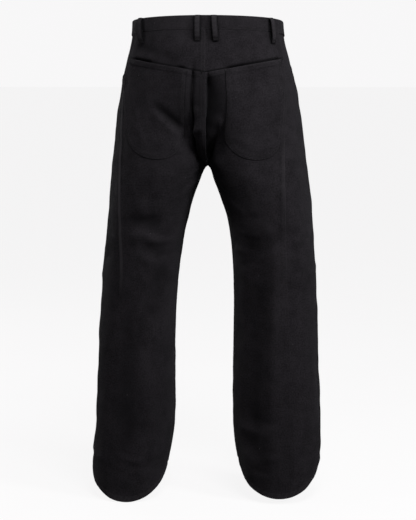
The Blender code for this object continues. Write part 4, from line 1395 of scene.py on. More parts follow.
@dataclass
class FrontPocket:
    """The curved mouth of a front pocket and the facing behind it."""

    side: Side
    width: float = 0.165
    depth: float = 0.095
    margin: float = 0.022
    under: float = 1.2 * MM
    rows: Pair = (1.8 * MM, 8.0 * MM)

    def rule(self, grow: float) -> Rule:
        """Distance outside the mouth's curve, which is moved out by grow."""
        width, depth = self.width + grow, self.depth + grow

        def distance(v: Array, z: Array) -> Array:
            """How far outside the curve places lie."""
            across = (FORM.outseam(self.side, z) - v) * GIRTH / width
            down = (FORM.waist_seam(v) - z) / depth
            return (np.hypot(np.maximum(across, 0), np.maximum(down, 0)) - 1) * min(width, depth)

        return distance

    def curve(self, grow: float, first: float = 0.0, last: float = 1.0) -> tuple[Array, Array]:
        """V and Z along the mouth's curve, from the outseam to the waist."""
        angle = np.linspace(first, last, 90) * math.pi / 2
        width, depth = self.width + grow, self.depth + grow
        z = FORM.waist_seam(np.zeros(90)) - depth * np.cos(angle)
        for _ in range(6):
            v = FORM.outseam(self.side, z) - np.sin(angle) * width / GIRTH
            z = FORM.waist_seam(v) - depth * np.cos(angle)
        return v, z

    def build(self, panel: Panel, finishes: Finishes) -> None:
        """Makes the front panel with its mouth cut out, the facing and their stitches."""
        cloth = panel.cloth()
        far = self.rule(0.0)(cloth.data[:, 6], cloth.data[:, 7])
        edge = fall(far, 9 * MM, 3 * MM)
        lift = 0.45 * MM * edge * smooth((far + 2 * MM) / (2 * MM))
        cloth.data[:, 8] += lift
        cloth.data[:, 10] = np.maximum(cloth.data[:, 10], 0.3 * fall(abs(far), 0, 3 * MM))
        kept = cloth.clipped(self.rule(0.0))
        piece = kept.build(panel.name, finishes.denim)
        declare(piece, panel.name, [panel.name])
        self.facing(panel, cloth, finishes)
        threads = Threads(f"stitches_mouth_{self.side.tag}")
        for grow in self.rows:
            v, z = self.curve(grow, 0.06, 0.97)
            sew(threads, self.side, v, z, lambda v, z: panel.height(v, z) + 0.40 * MM)
        threads.build(finishes)

    def facing(self, panel: Panel, cloth: Cloth, finishes: Finishes) -> None:
        """Makes the cloth behind the mouth."""
        behind = Cloth(self.side, cloth.data.copy(), cloth.faces)
        behind.data[:, 8] = -self.under
        behind.data[:, 9] = -self.under - WALL
        behind.data[:, 10] = 0.0
        grown = self.rule(self.margin)
        kept = behind.clipped(lambda v, z: -grown(v, z))
        kept = kept.clipped(lambda v, z: FORM.outseam(self.side, z) + 0.5 * MM - v)
        name = f"pocket_facing_{self.side.tag}"
        piece = kept.build(name, finishes.denim)
        declare(piece, name, [name])


@dataclass
class BackPocket:
    """A round-bottomed patch pocket that is set into the yoke seam, with a gaping mouth."""

    side: Side
    outline: Array
    flat: Pair
    area: float
    gaps: tuple[Pair, Pair]
    below_seam: float = 1.0 * MM
    gape: float = 3.0 * MM
    gape_depth: float = 0.045
    clear: float = 0.12 * MM
    insets: tuple[float, ...] = (
        0, 0.12, 0.35, 0.7, 1.1, 1.6, 2.2, 3.2, 5.0, 6.8, 7.4, 8.0, 8.6, 9.4, 10.8, 13.0, 16.0,
    )
    around: int = 260
    along_mouth: int = 64

    def curve(self) -> Array:
        """The sides and the round bottom as points in metres, close together."""
        points = self.outline * (GIRTH, 1)
        far = run_length(points)
        at = np.linspace(0, far[-1], 700)
        return np.stack([hermite(far, points[:, 0], at), hermite(far, points[:, 1], at)], axis=-1)

    def share(self, x: Array) -> Array:
        """How far x is along the mouth, from its inner end to its outer end."""
        first, last = self.outline[0][0] * GIRTH, self.outline[-1][0] * GIRTH
        return (x - first) / (last - first)

    def sag(self, x: Array) -> Array:
        """How open the mouth is at x, from 0 to 1, most near its two ends."""
        t = self.share(x)
        (a, wide_a), (b, wide_b) = self.gaps
        near = np.exp(-(((t - a) / wide_a) ** 2)) + np.exp(-(((t - b) / wide_b) ** 2))
        return np.clip(near, 0, 1) * smooth(t / 0.05) * smooth((1 - t) / 0.04)

    def mouth(self, x: Array, inset: float) -> Array:
        """Height of the mouth's edge at x, moved down."""
        return FORM.yoke_seam(x / GIRTH) - self.below_seam - 1.7 * MM * self.sag(x) - inset

    def ring(self, inset: float) -> Array:
        """The outline moved in, from the inner end of the mouth round the bottom and back."""
        line = self.curve()
        way = unit(np.gradient(line, axis=0))
        middle = line.mean(axis=0)
        inward = np.stack([-way[:, 1], way[:, 0]], axis=-1)
        if float((inward[350] * (middle - line[350])).sum()) < 0:
            inward = -inward
        moved = line + inward * inset
        below = moved[:, 1] < self.mouth(moved[:, 0], inset)
        first, last = int(np.argmax(below)), len(below) - 1 - int(np.argmax(below[::-1]))
        ends = []
        for a, b in ((first - 1, first), (last + 1, last)):
            pa, pb = moved[a], moved[b]
            ga = pa[1] - float(self.mouth(pa[0], inset))
            gb = pb[1] - float(self.mouth(pb[0], inset))
            ends.append(pa + (pb - pa) * ga / (ga - gb))
        body = np.concatenate([[ends[0]], moved[first : last + 1], [ends[1]]])
        far = run_length(body)
        body = resampled(body, far, np.linspace(0, far[-1], self.around + 1))
        x = np.linspace(body[-1, 0], body[0, 0], self.along_mouth + 1)[1:-1]
        top = np.stack([x, self.mouth(x, inset)], axis=-1)
        return np.concatenate([body, top])

    def lift(self, panel: Panel, x: Array, z: Array) -> Array:
        """How far out the pocket's back lies: on the panel, and off it towards the mouth."""
        across = np.clip(1 - (2 * self.share(x) - 1) ** 2, 0, 1)
        down = (FORM.yoke_seam(x / GIRTH) - z) / self.gape_depth
        gape = self.gape * (0.55 * across + 0.75 * self.sag(x)) * fall(down, 0, 1)
        return panel.height(x / GIRTH, z) + self.clear + gape

    def build(self, panel: Panel, finishes: Finishes) -> None:
        """Makes the pocket and its stitches."""
        rings, insets = [self.ring(step * MM) for step in self.insets], list(self.insets)
        last = rings[-1]
        centre = last.mean(axis=0)
        for share in np.linspace(1, 0, 15)[1:-1]:
            rings.append(centre + (last - centre) * share)
            insets.append(16.0 + 60.0 * (1 - share))
        place = np.array(rings)
        far = np.broadcast_to(np.array(insets)[:, None] * MM, place.shape[:2])
        count = place.shape[1]
        along = np.broadcast_to(run_length(rings[0]), far.shape)
        place = np.concatenate([place.reshape(-1, 2), [centre]])
        far, along = np.append(far, 0.1), np.append(along, 0.0)
        v, z = place[:, 0] / GIRTH, place[:, 1]
        lift = self.lift(panel, place[:, 0], z)
        double = fall(far, 9.4 * MM, 2.6 * MM)
        swell = 0.14 * MM * waver(along, 2.2) * double * smooth(far / MM)
        fold = 0.40 * MM * fall(far, 0, 0.7 * MM)
        outer = lift + WALL + 0.50 * MM * double - fold + swell + FELL.dent(far) * double
        ridge = 0.06 * double * (0.5 + 0.5 * waver(along, 1.1))
        wear = np.maximum(0.45 * fall(far, 0, 1.4 * MM), ridge)
        # Along the inner edge: a painted shadow line at the very edge, and a little lighter over the
        # double cloth inside it.
        inner = smooth((v - 0.70) / 0.06) * smooth((z + 0.232) / 0.03)
        inner = inner * smooth((FORM.yoke_seam(v) - 3.0 * MM - z) / (3.0 * MM))
        wear = wear + inner * (0.14 * double - 1.6 * fall(far, 1.1 * MM, 1.1 * MM))
        points, normals = OVER_DIPS.cloth(self.side, v, z), OVER_DIPS.cloth_normal(self.side, v, z)
        # Painted light and shade of the folds and patches, added to the pocket's wear.
        wear = np.clip(wear, -1.3, 1) + FORM.fading(self.side, v, z)
        more = np.stack([v, z, outer, lift, wear], axis=-1)
        faces = quads(len(rings), count, closed=True)
        base = (len(rings) - 1) * count
        faces += [(base + k, base + (k + 1) % count, len(rings) * count) for k in range(count)]
        cloth = Cloth(self.side, np.concatenate([points, normals, more], axis=-1), faces)
        name = f"back_pocket_{self.side.tag}"
        piece = cloth.build(name, finishes.denim)
        declare(piece, name, [name])
        self.stitches(panel, finishes)

    def stitches(self, panel: Panel, finishes: Finishes) -> None:
        """Adds two rows round the pocket, one along its mouth, and a bar tack at each end."""
        threads = Threads(f"stitches_pocket_{self.side.tag}")
        top = lambda v, z: self.lift(panel, v * GIRTH, z) + WALL + 0.37 * MM
        for inset in FELL.rows:
            ring = self.ring(inset)
            body = ring[: self.around + 1]
            sew(threads, self.side, body[:, 0] / GIRTH, body[:, 1], top, OVER_DIPS)
            if inset == FELL.rows[0]:
                mouth = np.concatenate([ring[self.around :], ring[:1]]) - (0, 0.4 * MM)
                sew(threads, self.side, mouth[:, 0] / GIRTH, mouth[:, 1], top, OVER_DIPS)
        ring = self.ring(3.0 * MM)
        for spot in (ring[0], ring[self.around]):
            bar_tack(threads, self.side, spot[0] / GIRTH, spot[1] - 1.0 * MM, top, 0.0)
        threads.build(finishes)


def bar_tack(
    threads: Threads,
    side: Side,
    v: float,
    z: float,
    height: Callable,
    lean: float,
    wide: float = 7.0 * MM,
    rows: int = 12,
) -> None:
    """Adds a dense bar of short stitches.

    Args:
        threads: The piece that it joins.
        side: The half of the garment.
        v: Its centre round the garment.
        z: Its height.
        height: How far out the cloth's face lies at V and Z.
        lean: How it is turned from level, in radians.
        wide: Its width.
        rows: How many stitches.
    """
    for k in range(rows):
        t = (k / (rows - 1) - 0.5) * wide
        c, s = math.cos(lean), math.sin(lean)
        zig = np.array((-0.9, 0.9)) * MM
        across = (t * c - zig * s) / GIRTH
        up = t * s + zig * c
        at = np.full(2, v) + across, np.full(2, z) + up
        path = OVER_DIPS.lifted(side, at[0], at[1], height(at[0], at[1]) + 0.1 * MM)
        threads.pitch, kept = 1.8 * MM, threads.pitch
        threads.row(path, OVER_DIPS.cloth_normal(side, at[0], at[1]))
        threads.pitch = kept


@dataclass
class SeamSewing:
    """The rows of stitches on the panels' own seams."""

    made: dict[str, Panel]

    @staticmethod
    def down(ruler: SeamRuler, far: float, high: float, low: float) -> tuple[Array, Array]:
        """V and Z down a seam at a distance from it."""
        z = np.linspace(high, low, max(8, int((high - low) / 0.004)))
        return np.array([float(ruler.place(np.array(far), level)) for level in z]), z

    @staticmethod
    def seam(name: str, side: Side, rows: Iterable[tuple], finishes: Finishes) -> None:
        """Makes the rows of one seam.

        Args:
            name: The seam's name.
            side: The half of the garment.
            rows: For each row its V and Z, and how far out the cloth's face lies there.
            finishes: The finishes.
        """
        threads = Threads(f"stitches_{name}")
        for places, height in rows:
            sew(threads, side, *places, height)
        threads.build(finishes)

    def build(self, finishes: Finishes) -> None:
        """Makes every row."""
        for side in Side:
            back, front, yoke = (self.made[f"{part}_{side.tag}"] for part in ("back", "front", "yoke"))
            self.seam(f"outseam_{side.tag}", side, self.outseam(side, back, yoke), finishes)
            self.seam(f"inseam_{side.tag}", side, self.inseam(side, front), finishes)
            self.seam(f"yoke_{side.tag}", side, self.yoke(side, back), finishes)
            self.seam(f"hem_{side.tag}", side, self.hem(side, back, front), finishes)
        self.seam("centre", Side.LEFT, self.centre(), finishes)

    def outseam(self, side: Side, back: Panel, yoke: Panel) -> Iterable[tuple]:
        """The single row down the top of the outseam."""
        v0 = FORM.outseam(side, np.array(-0.02))
        top, seam = float(FORM.waist_seam(v0)) - 2 * MM, float(FORM.yoke_seam(v0))
        for panel, high, low in ((yoke, top, seam - 1 * MM), (back, seam - 3 * MM, back.sewn_to)):
            yield self.down(panel.outer_edge, FELL.rows[0], high, low), panel.height

    def inseam(self, side: Side, front: Panel) -> Iterable[tuple]:
        """The two rows down the inseam."""
        low = float(FORM.hem(side, np.array(-1.0))) + 13.5 * MM
        for far in FELL.rows:
            yield self.down(front.inner_edge, far, FORM.crotch - 14 * MM, low), front.height

    @staticmethod
    def yoke(side: Side, back: Panel) -> Iterable[tuple]:
        """The two rows under the yoke."""
        v = np.linspace(float(FORM.outseam(side, np.array(-0.06))) + 0.012, 0.995, 90)
        for far in FELL.rows:
            yield (v, FORM.yoke_seam(v) - 0.3 * MM - far), back.height

    @staticmethod
    def hem(side: Side, back: Panel, front: Panel) -> Iterable[tuple]:
        """The row round the hem."""
        first = float(FORM.outseam(side, FORM.hem(side, np.array(0.3))))
        for panel, end in ((back, 1.0), (front, -1.0)):
            v = np.linspace(first, end, 130)
            yield (v, FORM.hem(side, v) + back.hem_fold - 1.5 * MM), panel.height

    def centre(self) -> Iterable[tuple]:
        """The two rows down the centre back and below the fly."""
        back, front, yoke = (self.made[f"{part}_left"] for part in ("back", "front", "yoke"))
        top, low = float(FORM.waist_seam(np.array(1.0))) - 2 * MM, FORM.crotch + 14 * MM
        for far in FELL.rows:
            for panel, first, last in (
                (yoke, top, FORM.yoke_centre + 1 * MM),
                (back, FORM.yoke_centre - 3 * MM, low),
                (front, Fly.end - 14 * MM, low),
            ):
                yield self.down(panel.inner_edge, far, first, last), panel.height


@dataclass
class FlyFront:
    """The fly placket with its curved end, its stitches, and the zip behind it."""

    lift: float = 0.3 * MM
    wall: float = 1.0 * MM
    tape_half: float = 0.012
    tooth: Triple = (0.0030, 0.0016, 0.0011)
    tooth_pitch: float = 0.0021
    tape_in: float = 2.75 * MM
    teeth_in: float = 3.95 * MM
    slider_in: float = 5.2 * MM
    slider_size: Triple = (8.0 * MM, 2.4 * MM, 10.5 * MM)
    slider_taper: float = 0.62
    pull_size: Triple = (5.0 * MM, 1.0 * MM, 17.0 * MM)
    rows: Pair = (1.8 * MM, 7.5 * MM)
    steps: tuple[float, ...] = (
        0, 0.3, 0.8, 1.4, 2, 2.8, 4.5, 7, 10, 14, 18, 22, 26, 28, 30, 31.5, 33, 34, 34.6, 35.2,
        35.7, 36,
    )

    @staticmethod
    def inside(v: Array, z: Array) -> Array:
        """Distance inside the placket's edge."""
        across = (v + 1) * GIRTH
        low = np.hypot(across, np.minimum(z - Fly.bend, 0))
        return np.where(z > Fly.bend, Fly.width - across, Fly.width - low)

    def build(self, finishes: Finishes) -> None:
        """Makes the placket, its stitches and the zip."""
        top = Fly.top - 0.4 * MM
        z, across = np.meshgrid(np.linspace(top, Fly.end, 70), np.array(self.steps) * MM, indexing="ij")
        round_end = np.sqrt(np.maximum(Fly.width**2 - (Fly.bend - z) ** 2, (1.5 * MM) ** 2))
        width = np.where(z > Fly.bend, Fly.width, round_end)
        v = -1 + across / GIRTH * width / Fly.width
        far = np.minimum(self.inside(v, z), (v + 1) * GIRTH)
        fold = 0.45 * MM * fall(far, 0, 0.7 * MM)
        outer = self.lift + self.wall - fold + 0.1 * MM * waver(z, 1.7)
        wear = 0.9 * fall(far, 0, 1.5 * MM)
        cloth = Cloth.grid(Side.LEFT, v, z, outer, np.full(v.shape, self.lift), wear)
        piece = cloth.build("fly_placket", finishes.denim)
        declare(piece, "fly_placket", ["fly_placket"])
        threads = Threads("stitches_fly")
        face = lambda v, z: np.full(np.shape(v), self.lift + self.wall)
        for inset in self.rows:
            straight = np.linspace(top - 2 * MM, Fly.bend, 40)
            reach = Fly.width - inset
            angle = np.linspace(0, math.pi / 2 - 0.05, 30)[1:]
            x = np.concatenate([np.full(40, reach), reach * np.cos(angle)])
            low = np.concatenate([straight, Fly.bend - reach * np.sin(angle)])
            sew(threads, Side.LEFT, -1 + x / GIRTH, low, face)
        edge = np.linspace(top - 2 * MM, Fly.end + 4 * MM, 60)
        sew(threads, Side.LEFT, np.full(60, -1 + 1.8 * MM / GIRTH), edge, face)
        bar_tack(threads, Side.LEFT, -1 + 4 * MM / GIRTH, Fly.end + 7 * MM, face, 0.6)
        threads.build(finishes)
        self.tape(finishes)
        self.teeth(finishes)
        self.slider(finishes)

    def spot(self, x: float, z: float, off: float) -> tuple[Array, Array]:
        """A point behind the centre front and the normal there."""
        v = np.array([-1 + x / GIRTH])
        level = np.array([z])
        n = FORM.normal(FORM.form, Side.LEFT, v, level)
        return (FORM.form(Side.LEFT, v, level) + n * off)[0], n[0]

    def tape(self, finishes: Finishes) -> None:
        """The two halves of the zip's tape as one woven strip."""
        reach = self.tape_half / GIRTH
        down = np.linspace(Fly.top - 3 * MM, Fly.end + 10 * MM, 60)
        z, v = np.meshgrid(down, np.linspace(-1 - reach, -1 + reach, 19), indexing="ij")
        points = FORM.form(Side.LEFT, v, z)
        normals = FORM.normal(FORM.form, Side.LEFT, v, z)
        rib = 0.12 * MM * np.sin((v + 1) * GIRTH * 2 * math.pi / (2.6 * MM))
        outer = np.full(v.shape, -self.tape_in) + rib
        more = np.stack([v, z, outer, outer - 0.7 * MM, np.zeros(v.shape)], axis=-1)
        data = np.concatenate([points, normals, more], axis=-1).reshape(-1, 11)
        piece = Cloth(Side.LEFT, data, quads(*v.shape)).build("zip_tape", finishes.denim)
        declare(piece, "zip_tape", ["zip_tape"])

    def teeth(self, finishes: Finishes) -> None:
        """Two rows of teeth that grip each other, from one modelled tooth."""
        tooth = add_box(self.tooth)
        round_edges(tooth, 0.28 * MM, 1)
        shape = np.array([vertex.co[:] for vertex in tooth.data.vertices])
        faces = [tuple(face.vertices) for face in tooth.data.polygons]
        bpy.data.objects.remove(tooth, do_unlink=True)
        points, all_faces = [], []
        z, row = Fly.top - 8 * MM, 0
        while z > Fly.end + 14 * MM:
            x = (0.8 if row % 2 else -0.8) * MM
            spot, n = self.spot(x, z, -self.teeth_in)
            across = unit(np.array((n[1], -n[0], 0.0)))
            up = np.cross(n, across)
            base = len(points) * len(shape)
            points.append(spot + shape @ np.stack([across, n, up]))
            all_faces += [tuple(base + k for k in face) for face in faces]
            z -= self.tooth_pitch / 2
            row += 1
        piece = add_piece("zip_teeth", np.concatenate(points), all_faces, finishes.zip)
        declare(piece, "zip_slider")

    def slider(self, finishes: Finishes) -> None:
        """The slider at the top of the zip, with its pull hanging down."""
        body = add_box(self.slider_size)
        body.name = "zip_slider_body"
        for vertex in body.data.vertices:
            if vertex.co.z < 0:
                vertex.co.x *= self.slider_taper
        round_edges(body, 0.8 * MM, 3)
        bpy.ops.mesh.primitive_torus_add(
            major_radius=3.0 * MM, minor_radius=0.7 * MM, major_segments=24, minor_segments=8
        )
        ring = bpy.context.object
        oval = Matrix.Diagonal((0.8, 0.6, 1.6, 1.0)) @ Matrix.Rotation(math.pi / 2, 4, "X")
        ring.data.transform(Matrix.Translation((0, 1.5 * MM, -3.0 * MM)) @ oval)
        pull = add_box(self.pull_size, (0, 1.6 * MM, -15.0 * MM))
        round_edges(pull, 0.45 * MM, 2)
        for part in (body, ring, pull):
            part.select_set(True)
        bpy.context.view_layer.objects.active = body
        bpy.ops.object.join()
        spot, n = self.spot(0.0, Fly.top - 13 * MM, -self.slider_in)
        across = Vector((1.0, 0.0, 0.0))
        inward = Vector(-n)
        up = across.cross(inward)
        turn = Matrix((across, inward, up)).transposed().to_4x4()
        settle(body, Matrix.Translation(Vector(spot)) @ turn, finishes.zip)
        declare(body, "zip_slider", ["zip_slider"])


@dataclass
class Waistband:
    """The waistband: two layers of cloth in three pieces, with rounded edges."""

    proud: float = 0.7 * MM
    wall: float = 2.8 * MM
    seam: float = 0.43
    lap: float = 12.0 * MM
    underlap: float = 22.0 * MM
    front_arc: float = 0.27
    gap: float = 0.3 * MM
    rows: Pair = (2.4 * MM, 27.0 * MM)
    right_end: float = -0.83
    loop: Pairs = (
        (0.0003, -0.55), (0.0006, -0.20), (0.0011, -0.02), (0.0018, -0.05), (0.0024, -0.22),
        (0.0030, -0.05), (0.0045, 0.05), (0.0080, 0.10), (0.0120, 0.12), (0.0160, 0.12),
        (0.0200, 0.10), (0.0240, 0.08), (0.0262, -0.02), (0.0270, -0.22), (0.0277, -0.05),
        (0.0287, -0.05), (0.0294, -0.25), (0.0299, -0.65), (0.0301, -1.35), (0.0299, -2.10),
        (0.0292, -2.50), (0.0280, -2.70), (0.0240, -2.75), (0.0160, -2.75), (0.0080, -2.75),
        (0.0030, -2.72), (0.0012, -2.62), (0.0004, -2.30), (0.0001, -1.40),
    )

    def piece(
        self,
        name: str,
        path: list[tuple[Side, float, float]],
        flat: Pair,
        finishes: Finishes,
    ) -> None:
        """Makes one part of the waistband through its places round the waist.

        Args:
            name: The piece's name.
            path: Each place's side, V and how far in it is sunk.
            flat: The cut's width and length, which is not used.
            finishes: The finishes.
        """
        points, cut, wear = [], [], []
        run, before, middle = 0.0, None, 9
        heights, offs = np.array(self.loop).T
        rub = np.where((heights > 0.0292) & (offs > -2), 0.85, 0.0)
        rub = np.where((heights < 0.0012) & (offs > -1), 0.5, rub)
        for side, v, sunk in path:
            inner_v = v if abs(v) <= 1 else math.copysign(2 - abs(v), v)
            low = float(FORM.waist_seam(np.array(inner_v)))
            z = low + heights
            spot = FORM.form(side, np.full(len(z), v), z)
            n = FORM.level_normal(side, np.full(len(z), v), z)
            run += 0.0 if before is None else float(np.linalg.norm(spot[middle] - before))
            before = spot[middle]
            swell = 0.10 * waver(np.array(run), 4.2) + 0.06 * waver(np.array(run * 0.37), 1.2)
            off = self.proud + (offs + np.where(offs > -1, swell, 0)) * MM - sunk
            points.append(spot + n * off[:, None])
            cut.append([(run, level) for level in z])
            band_rub_and_highlight = rub * (0.65 + 0.35 * float(waver(np.array(run), 0.4)))
            # A little rubbing all along the band's face, and a painted highlight over the left back,
            # away from the centre back.
            left_back = float(side is Side.LEFT and v > 0)
            belt = 0.07 + 0.17 * float(smooth(np.array((1.0 - v) / 0.12))) * left_back
            band_rub_and_highlight = band_rub_and_highlight + np.where(offs > -2, belt, 0.0)
            wear.append(band_rub_and_highlight - under_loops(side, np.full(len(z), inner_v), z))
        rings = np.array(points)
        faces, cut = capped_tube(rings, 23, middle), np.array(cut).reshape(-1, 2)
        made = add_piece(name, rings.reshape(-1, 3), faces, finishes.denim, cut, np.concatenate(wear))
        declare(made, name, [name])

    def build(self, finishes: Finishes) -> None:
        """Makes the three parts and their stitches."""
        edge = self.gap / 2 / GIRTH
        back = np.linspace(self.seam + edge, 1.0, 52)
        path = [(Side.LEFT, float(v), 0.0) for v in back]
        path += [(Side.RIGHT, float(v), 0.0) for v in back[-2::-1]]
        self.piece("waistband_back", path, (0.295, 0.030), finishes)
        front = np.linspace(self.seam - edge, -1.0, 120)
        lap = np.linspace(-1.0, -1 - self.lap / self.front_arc, 6)[1:]
        path = [(Side.LEFT, float(v), 0.0) for v in (*front, *lap)]
        self.piece("waistband_left", path, (0.332, 0.030), finishes)
        lap = np.linspace(-1.0, -1 - self.underlap / self.front_arc, 9)[1:]
        deep = self.wall + self.gap + 0.2 * MM
        path = [(Side.RIGHT, float(v), deep * float(smooth((-v - 0.84) / 0.07))) for v in (*front, *lap)]
        self.piece("waistband_right", path, (0.338, 0.030), finishes)
        self.stitches(finishes)

    def stitches(self, finishes: Finishes) -> None:
        """Adds the two rows along the waistband's edges."""
        for side in Side:
            threads = Threads(f"stitches_waistband_{side.tag}")
            end = -1 - (self.lap - 2 * MM) / self.front_arc if side is Side.LEFT else self.right_end
            for height in self.rows:
                v = np.linspace(1.0, end, 260)
                bent = np.where(abs(v) > 1, np.sign(v) * (2 - abs(v)), v)
                z = FORM.waist_seam(bent) + height
                n = FORM.level_normal(side, v, z)
                threads.row(FORM.form(side, v, z) + n * (self.proud - 0.12 * MM), n)
            threads.build(finishes)


@dataclass
class BeltLoop:
    """A belt loop: a folded strip that stands off the waistband between its two sewn ends."""

    name: str
    side: Side
    v: float
    lean: float
    width: float = 12.5 * MM
    length: float = 56.0 * MM
    wall: float = 1.8 * MM
    path: Pairs = (
        (-0.0190, 0.0003), (-0.0155, 0.0010), (-0.0110, 0.0040), (-0.0035, 0.0062), (0.0065, 0.0070),
        (0.0170, 0.0070), (0.0250, 0.0062), (0.0305, 0.0036), (0.0333, 0.0004),
    )
    section: Pairs = (
        (-0.47, 0.02), (-0.25, 0.0), (0.0, 0.0), (0.25, 0.0), (0.47, 0.02), (0.497, 0.22), (0.50, 0.50),
        (0.492, 0.78), (0.455, 0.95), (0.40, 1.0), (0.345, 0.97), (0.315, 0.90), (0.285, 0.97),
        (0.20, 1.03), (0.0, 1.06), (-0.20, 1.03), (-0.285, 0.97), (-0.315, 0.90), (-0.345, 0.97),
        (-0.40, 1.0), (-0.455, 0.95), (-0.492, 0.78), (-0.50, 0.50), (-0.497, 0.22),
    )
    # Across the loop from its middle: a rubbed face with a painted highlight, then painted shade on the
    # sides.
    rubbed: Pairs = (
        (0, 0.60), (0.30, 0.60), (0.36, 0.42), (0.42, 0.0), (0.46, -0.9), (0.50, -1.3),
    )

    def frames(self, count: int) -> tuple[Array, Array, Array]:
        """Points down the loop's back with the ways across and out."""
        table = np.array(self.path)
        height = np.linspace(table[0, 0], table[-1, 0], count)
        off = hermite(table[:, 0], table[:, 1], height)
        lift = FORM.above_back(self.v)
        share = (height - height[0]) / (height[-1] - height[0])
        v = np.full(count, self.v)
        spot = FORM.form(self.side, v, height + lift)
        n = FORM.level_normal(self.side, v, height + lift)
        across = np.stack([-n[:, 1], n[:, 0], np.zeros(count)], axis=-1)
        spot = spot + n * (off + 0.3 * MM)[:, None]
        spot = spot + across * (self.lean * share * self.side.sign)[:, None]
        along = unit(np.gradient(spot, axis=0))
        out = unit(np.cross(across, along))
        out = out * np.sign((out * n).sum(axis=1))[:, None]
        return spot, across, out

    def build(self, finishes: Finishes) -> None:
        """Makes the loop and its stitches."""
        count = 46
        spot, across, out = self.frames(count)
        table = np.array(self.section)
        share = np.linspace(0, 1, count)
        to_end = np.minimum(share, 1 - share)
        pinch = 1 - 0.05 * np.exp(-((to_end / 0.08) ** 2))
        bulk = 1 + 0.35 * np.exp(-((to_end / 0.09) ** 2)) + 0.05 * waver(share * 0.06, 2.0)
        points = (
            spot[:, None]
            + across[:, None] * (table[:, 0] * self.width)[None, :, None] * pinch[:, None, None]
            + out[:, None] * (table[:, 1] * self.wall)[None, :, None] * bulk[:, None, None]
        )
        faces = capped_tube(points, 2, 13)
        wide, tall = table[:, 0] * self.width, share[:, None] * self.length
        cut = np.stack(np.broadcast_arrays(wide, tall), axis=-1)
        face = np.interp(abs(table[:, 0]), *np.transpose(self.rubbed))
        rub = face[None, :] * (0.85 + 0.15 * waver(share * 0.06, 0.3))[:, None]
        # Painted highlight at the top end, painted shadow at the bottom end, and painted shade on the
        # back against the band.
        rub = rub + 0.35 * np.exp(-(((1 - share) / 0.06) ** 2))[:, None]
        rub = rub - 1.5 * np.exp(-((share / 0.045) ** 2))[:, None]
        rub = np.where(table[None, :, 1] > 0.15, rub, -1.0)
        piece = add_piece(
            self.name, points.reshape(-1, 3), faces, finishes.denim, cut.reshape(-1, 2), rub.ravel()
        )
        declare(piece, self.name, [self.name])
        threads = Threads(f"stitches_{self.name}", 3.0 * MM, 0.25 * MM)
        for place in (-0.315, 0.315):
            line = spot + across * place * self.width + out * (0.93 * self.wall * bulk)[:, None]
            threads.row(line[2:-2], out[2:-2])
        for end in (2, count - 4):
            for k in range(13):
                x = (k / 12 - 0.5) * self.width * 0.86
                rows = slice(end, end + 3)
                lift = 1.08 * self.wall * bulk[rows]
                line = spot[rows] + across[rows] * x + out[rows] * lift[:, None]
                threads.pitch = 3.2 * MM
                threads.row(line, out[rows])
        threads.build(finishes)


@dataclass
class WaistButton:
    """The tack button with a sunk plain face, and the buttonhole behind it."""

    radius: float = 8.5 * MM
    shank: float = 0.38
    rise: float = 1.1 * MM

    def build(self, finishes: Finishes) -> None:
        """Makes the button and the buttonhole."""
        bpy.ops.object.select_all(action="DESELECT")
        thin = self.radius * self.shank
        bpy.ops.mesh.primitive_cylinder_add(vertices=48, radius=thin, depth=self.rise)
        button = bpy.context.object
        button.name = "waist_button_plain"
        bpy.ops.object.mode_set(mode="EDIT")
        self.select_top(button)
        spread = 1.0 / self.shank * 0.93
        rim = ((spread, 0.10), (1.07, 0.55), (1.0, 0.55), (0.93, 0.40), (0.86, 0.10))
        face = ((0.93, -0.45), (0.60, -0.12), (0.90, 0.22), (0.30, 0.10))
        for number, (grow, up) in enumerate(rim + face):
            if number < len(rim):
                bpy.ops.mesh.extrude_region_move()
            else:
                bpy.ops.mesh.inset(thickness=0.0)
            bpy.ops.transform.resize(value=(grow, grow, 1.0), center_override=(0, 0, 0))
            bpy.ops.transform.translate(value=(0, 0, up * MM))
        bpy.ops.object.mode_set(mode="OBJECT")
        round_edges(button, 0.16 * MM, 2)
        v = np.array([-1 + 0.004 / GIRTH])
        z = np.array([float(FORM.rim(np.array(-1.0))) - FORM.band / 2])
        n = FORM.level_normal(Side.LEFT, v, z)[0]
        base = FORM.form(Side.LEFT, v, z)[0] + n * (1.05 * MM + self.rise / 2)
        turn = Vector((0, 0, 1)).rotation_difference(Vector(n)).to_matrix().to_4x4()
        settle(button, Matrix.Translation(Vector(base)) @ turn, finishes.button)
        declare(button, "waist_button", ["waist_button"])
        self.hole(v[0], float(z[0]), finishes)

    @staticmethod
    def select_top(button: Object) -> None:
        """Selects the top face of the mesh in edit mode."""
        bpy.ops.mesh.select_all(action="DESELECT")
        bpy.ops.object.mode_set(mode="OBJECT")
        top = max(face.center.z for face in button.data.polygons)
        for face in button.data.polygons:
            face.select = face.center.z > top - 1e-6 and face.normal.z > 0.9
        bpy.ops.object.mode_set(mode="EDIT")
        bpy.ops.mesh.select_mode(type="FACE")

    def hole(self, v: float, z: float, finishes: Finishes) -> None:
        """The stitched eyelet and slot of the buttonhole."""
        threads = Threads("stitches_buttonhole", 1.9 * MM, 0.24 * MM)
        count = 64
        for angle in np.arange(count) * 2 * math.pi / count:
            x = 9.5 * MM * math.cos(angle) + 3.5 * MM
            y = 2.2 * MM * math.sin(angle) * (1.25 if math.cos(angle) < -0.6 else 1.0)
            way = unit(np.array((math.cos(angle) * 0.5, math.sin(angle)))) * MM
            at_v = v + (x + np.array((-way[0], way[0]))) / GIRTH
            at_z = z + y + np.array((-way[1], way[1]))
            n = FORM.level_normal(Side.LEFT, at_v, at_z)
            threads.row(FORM.form(Side.LEFT, at_v, at_z) + n * (0.85 * MM), n)
        threads.build(finishes)


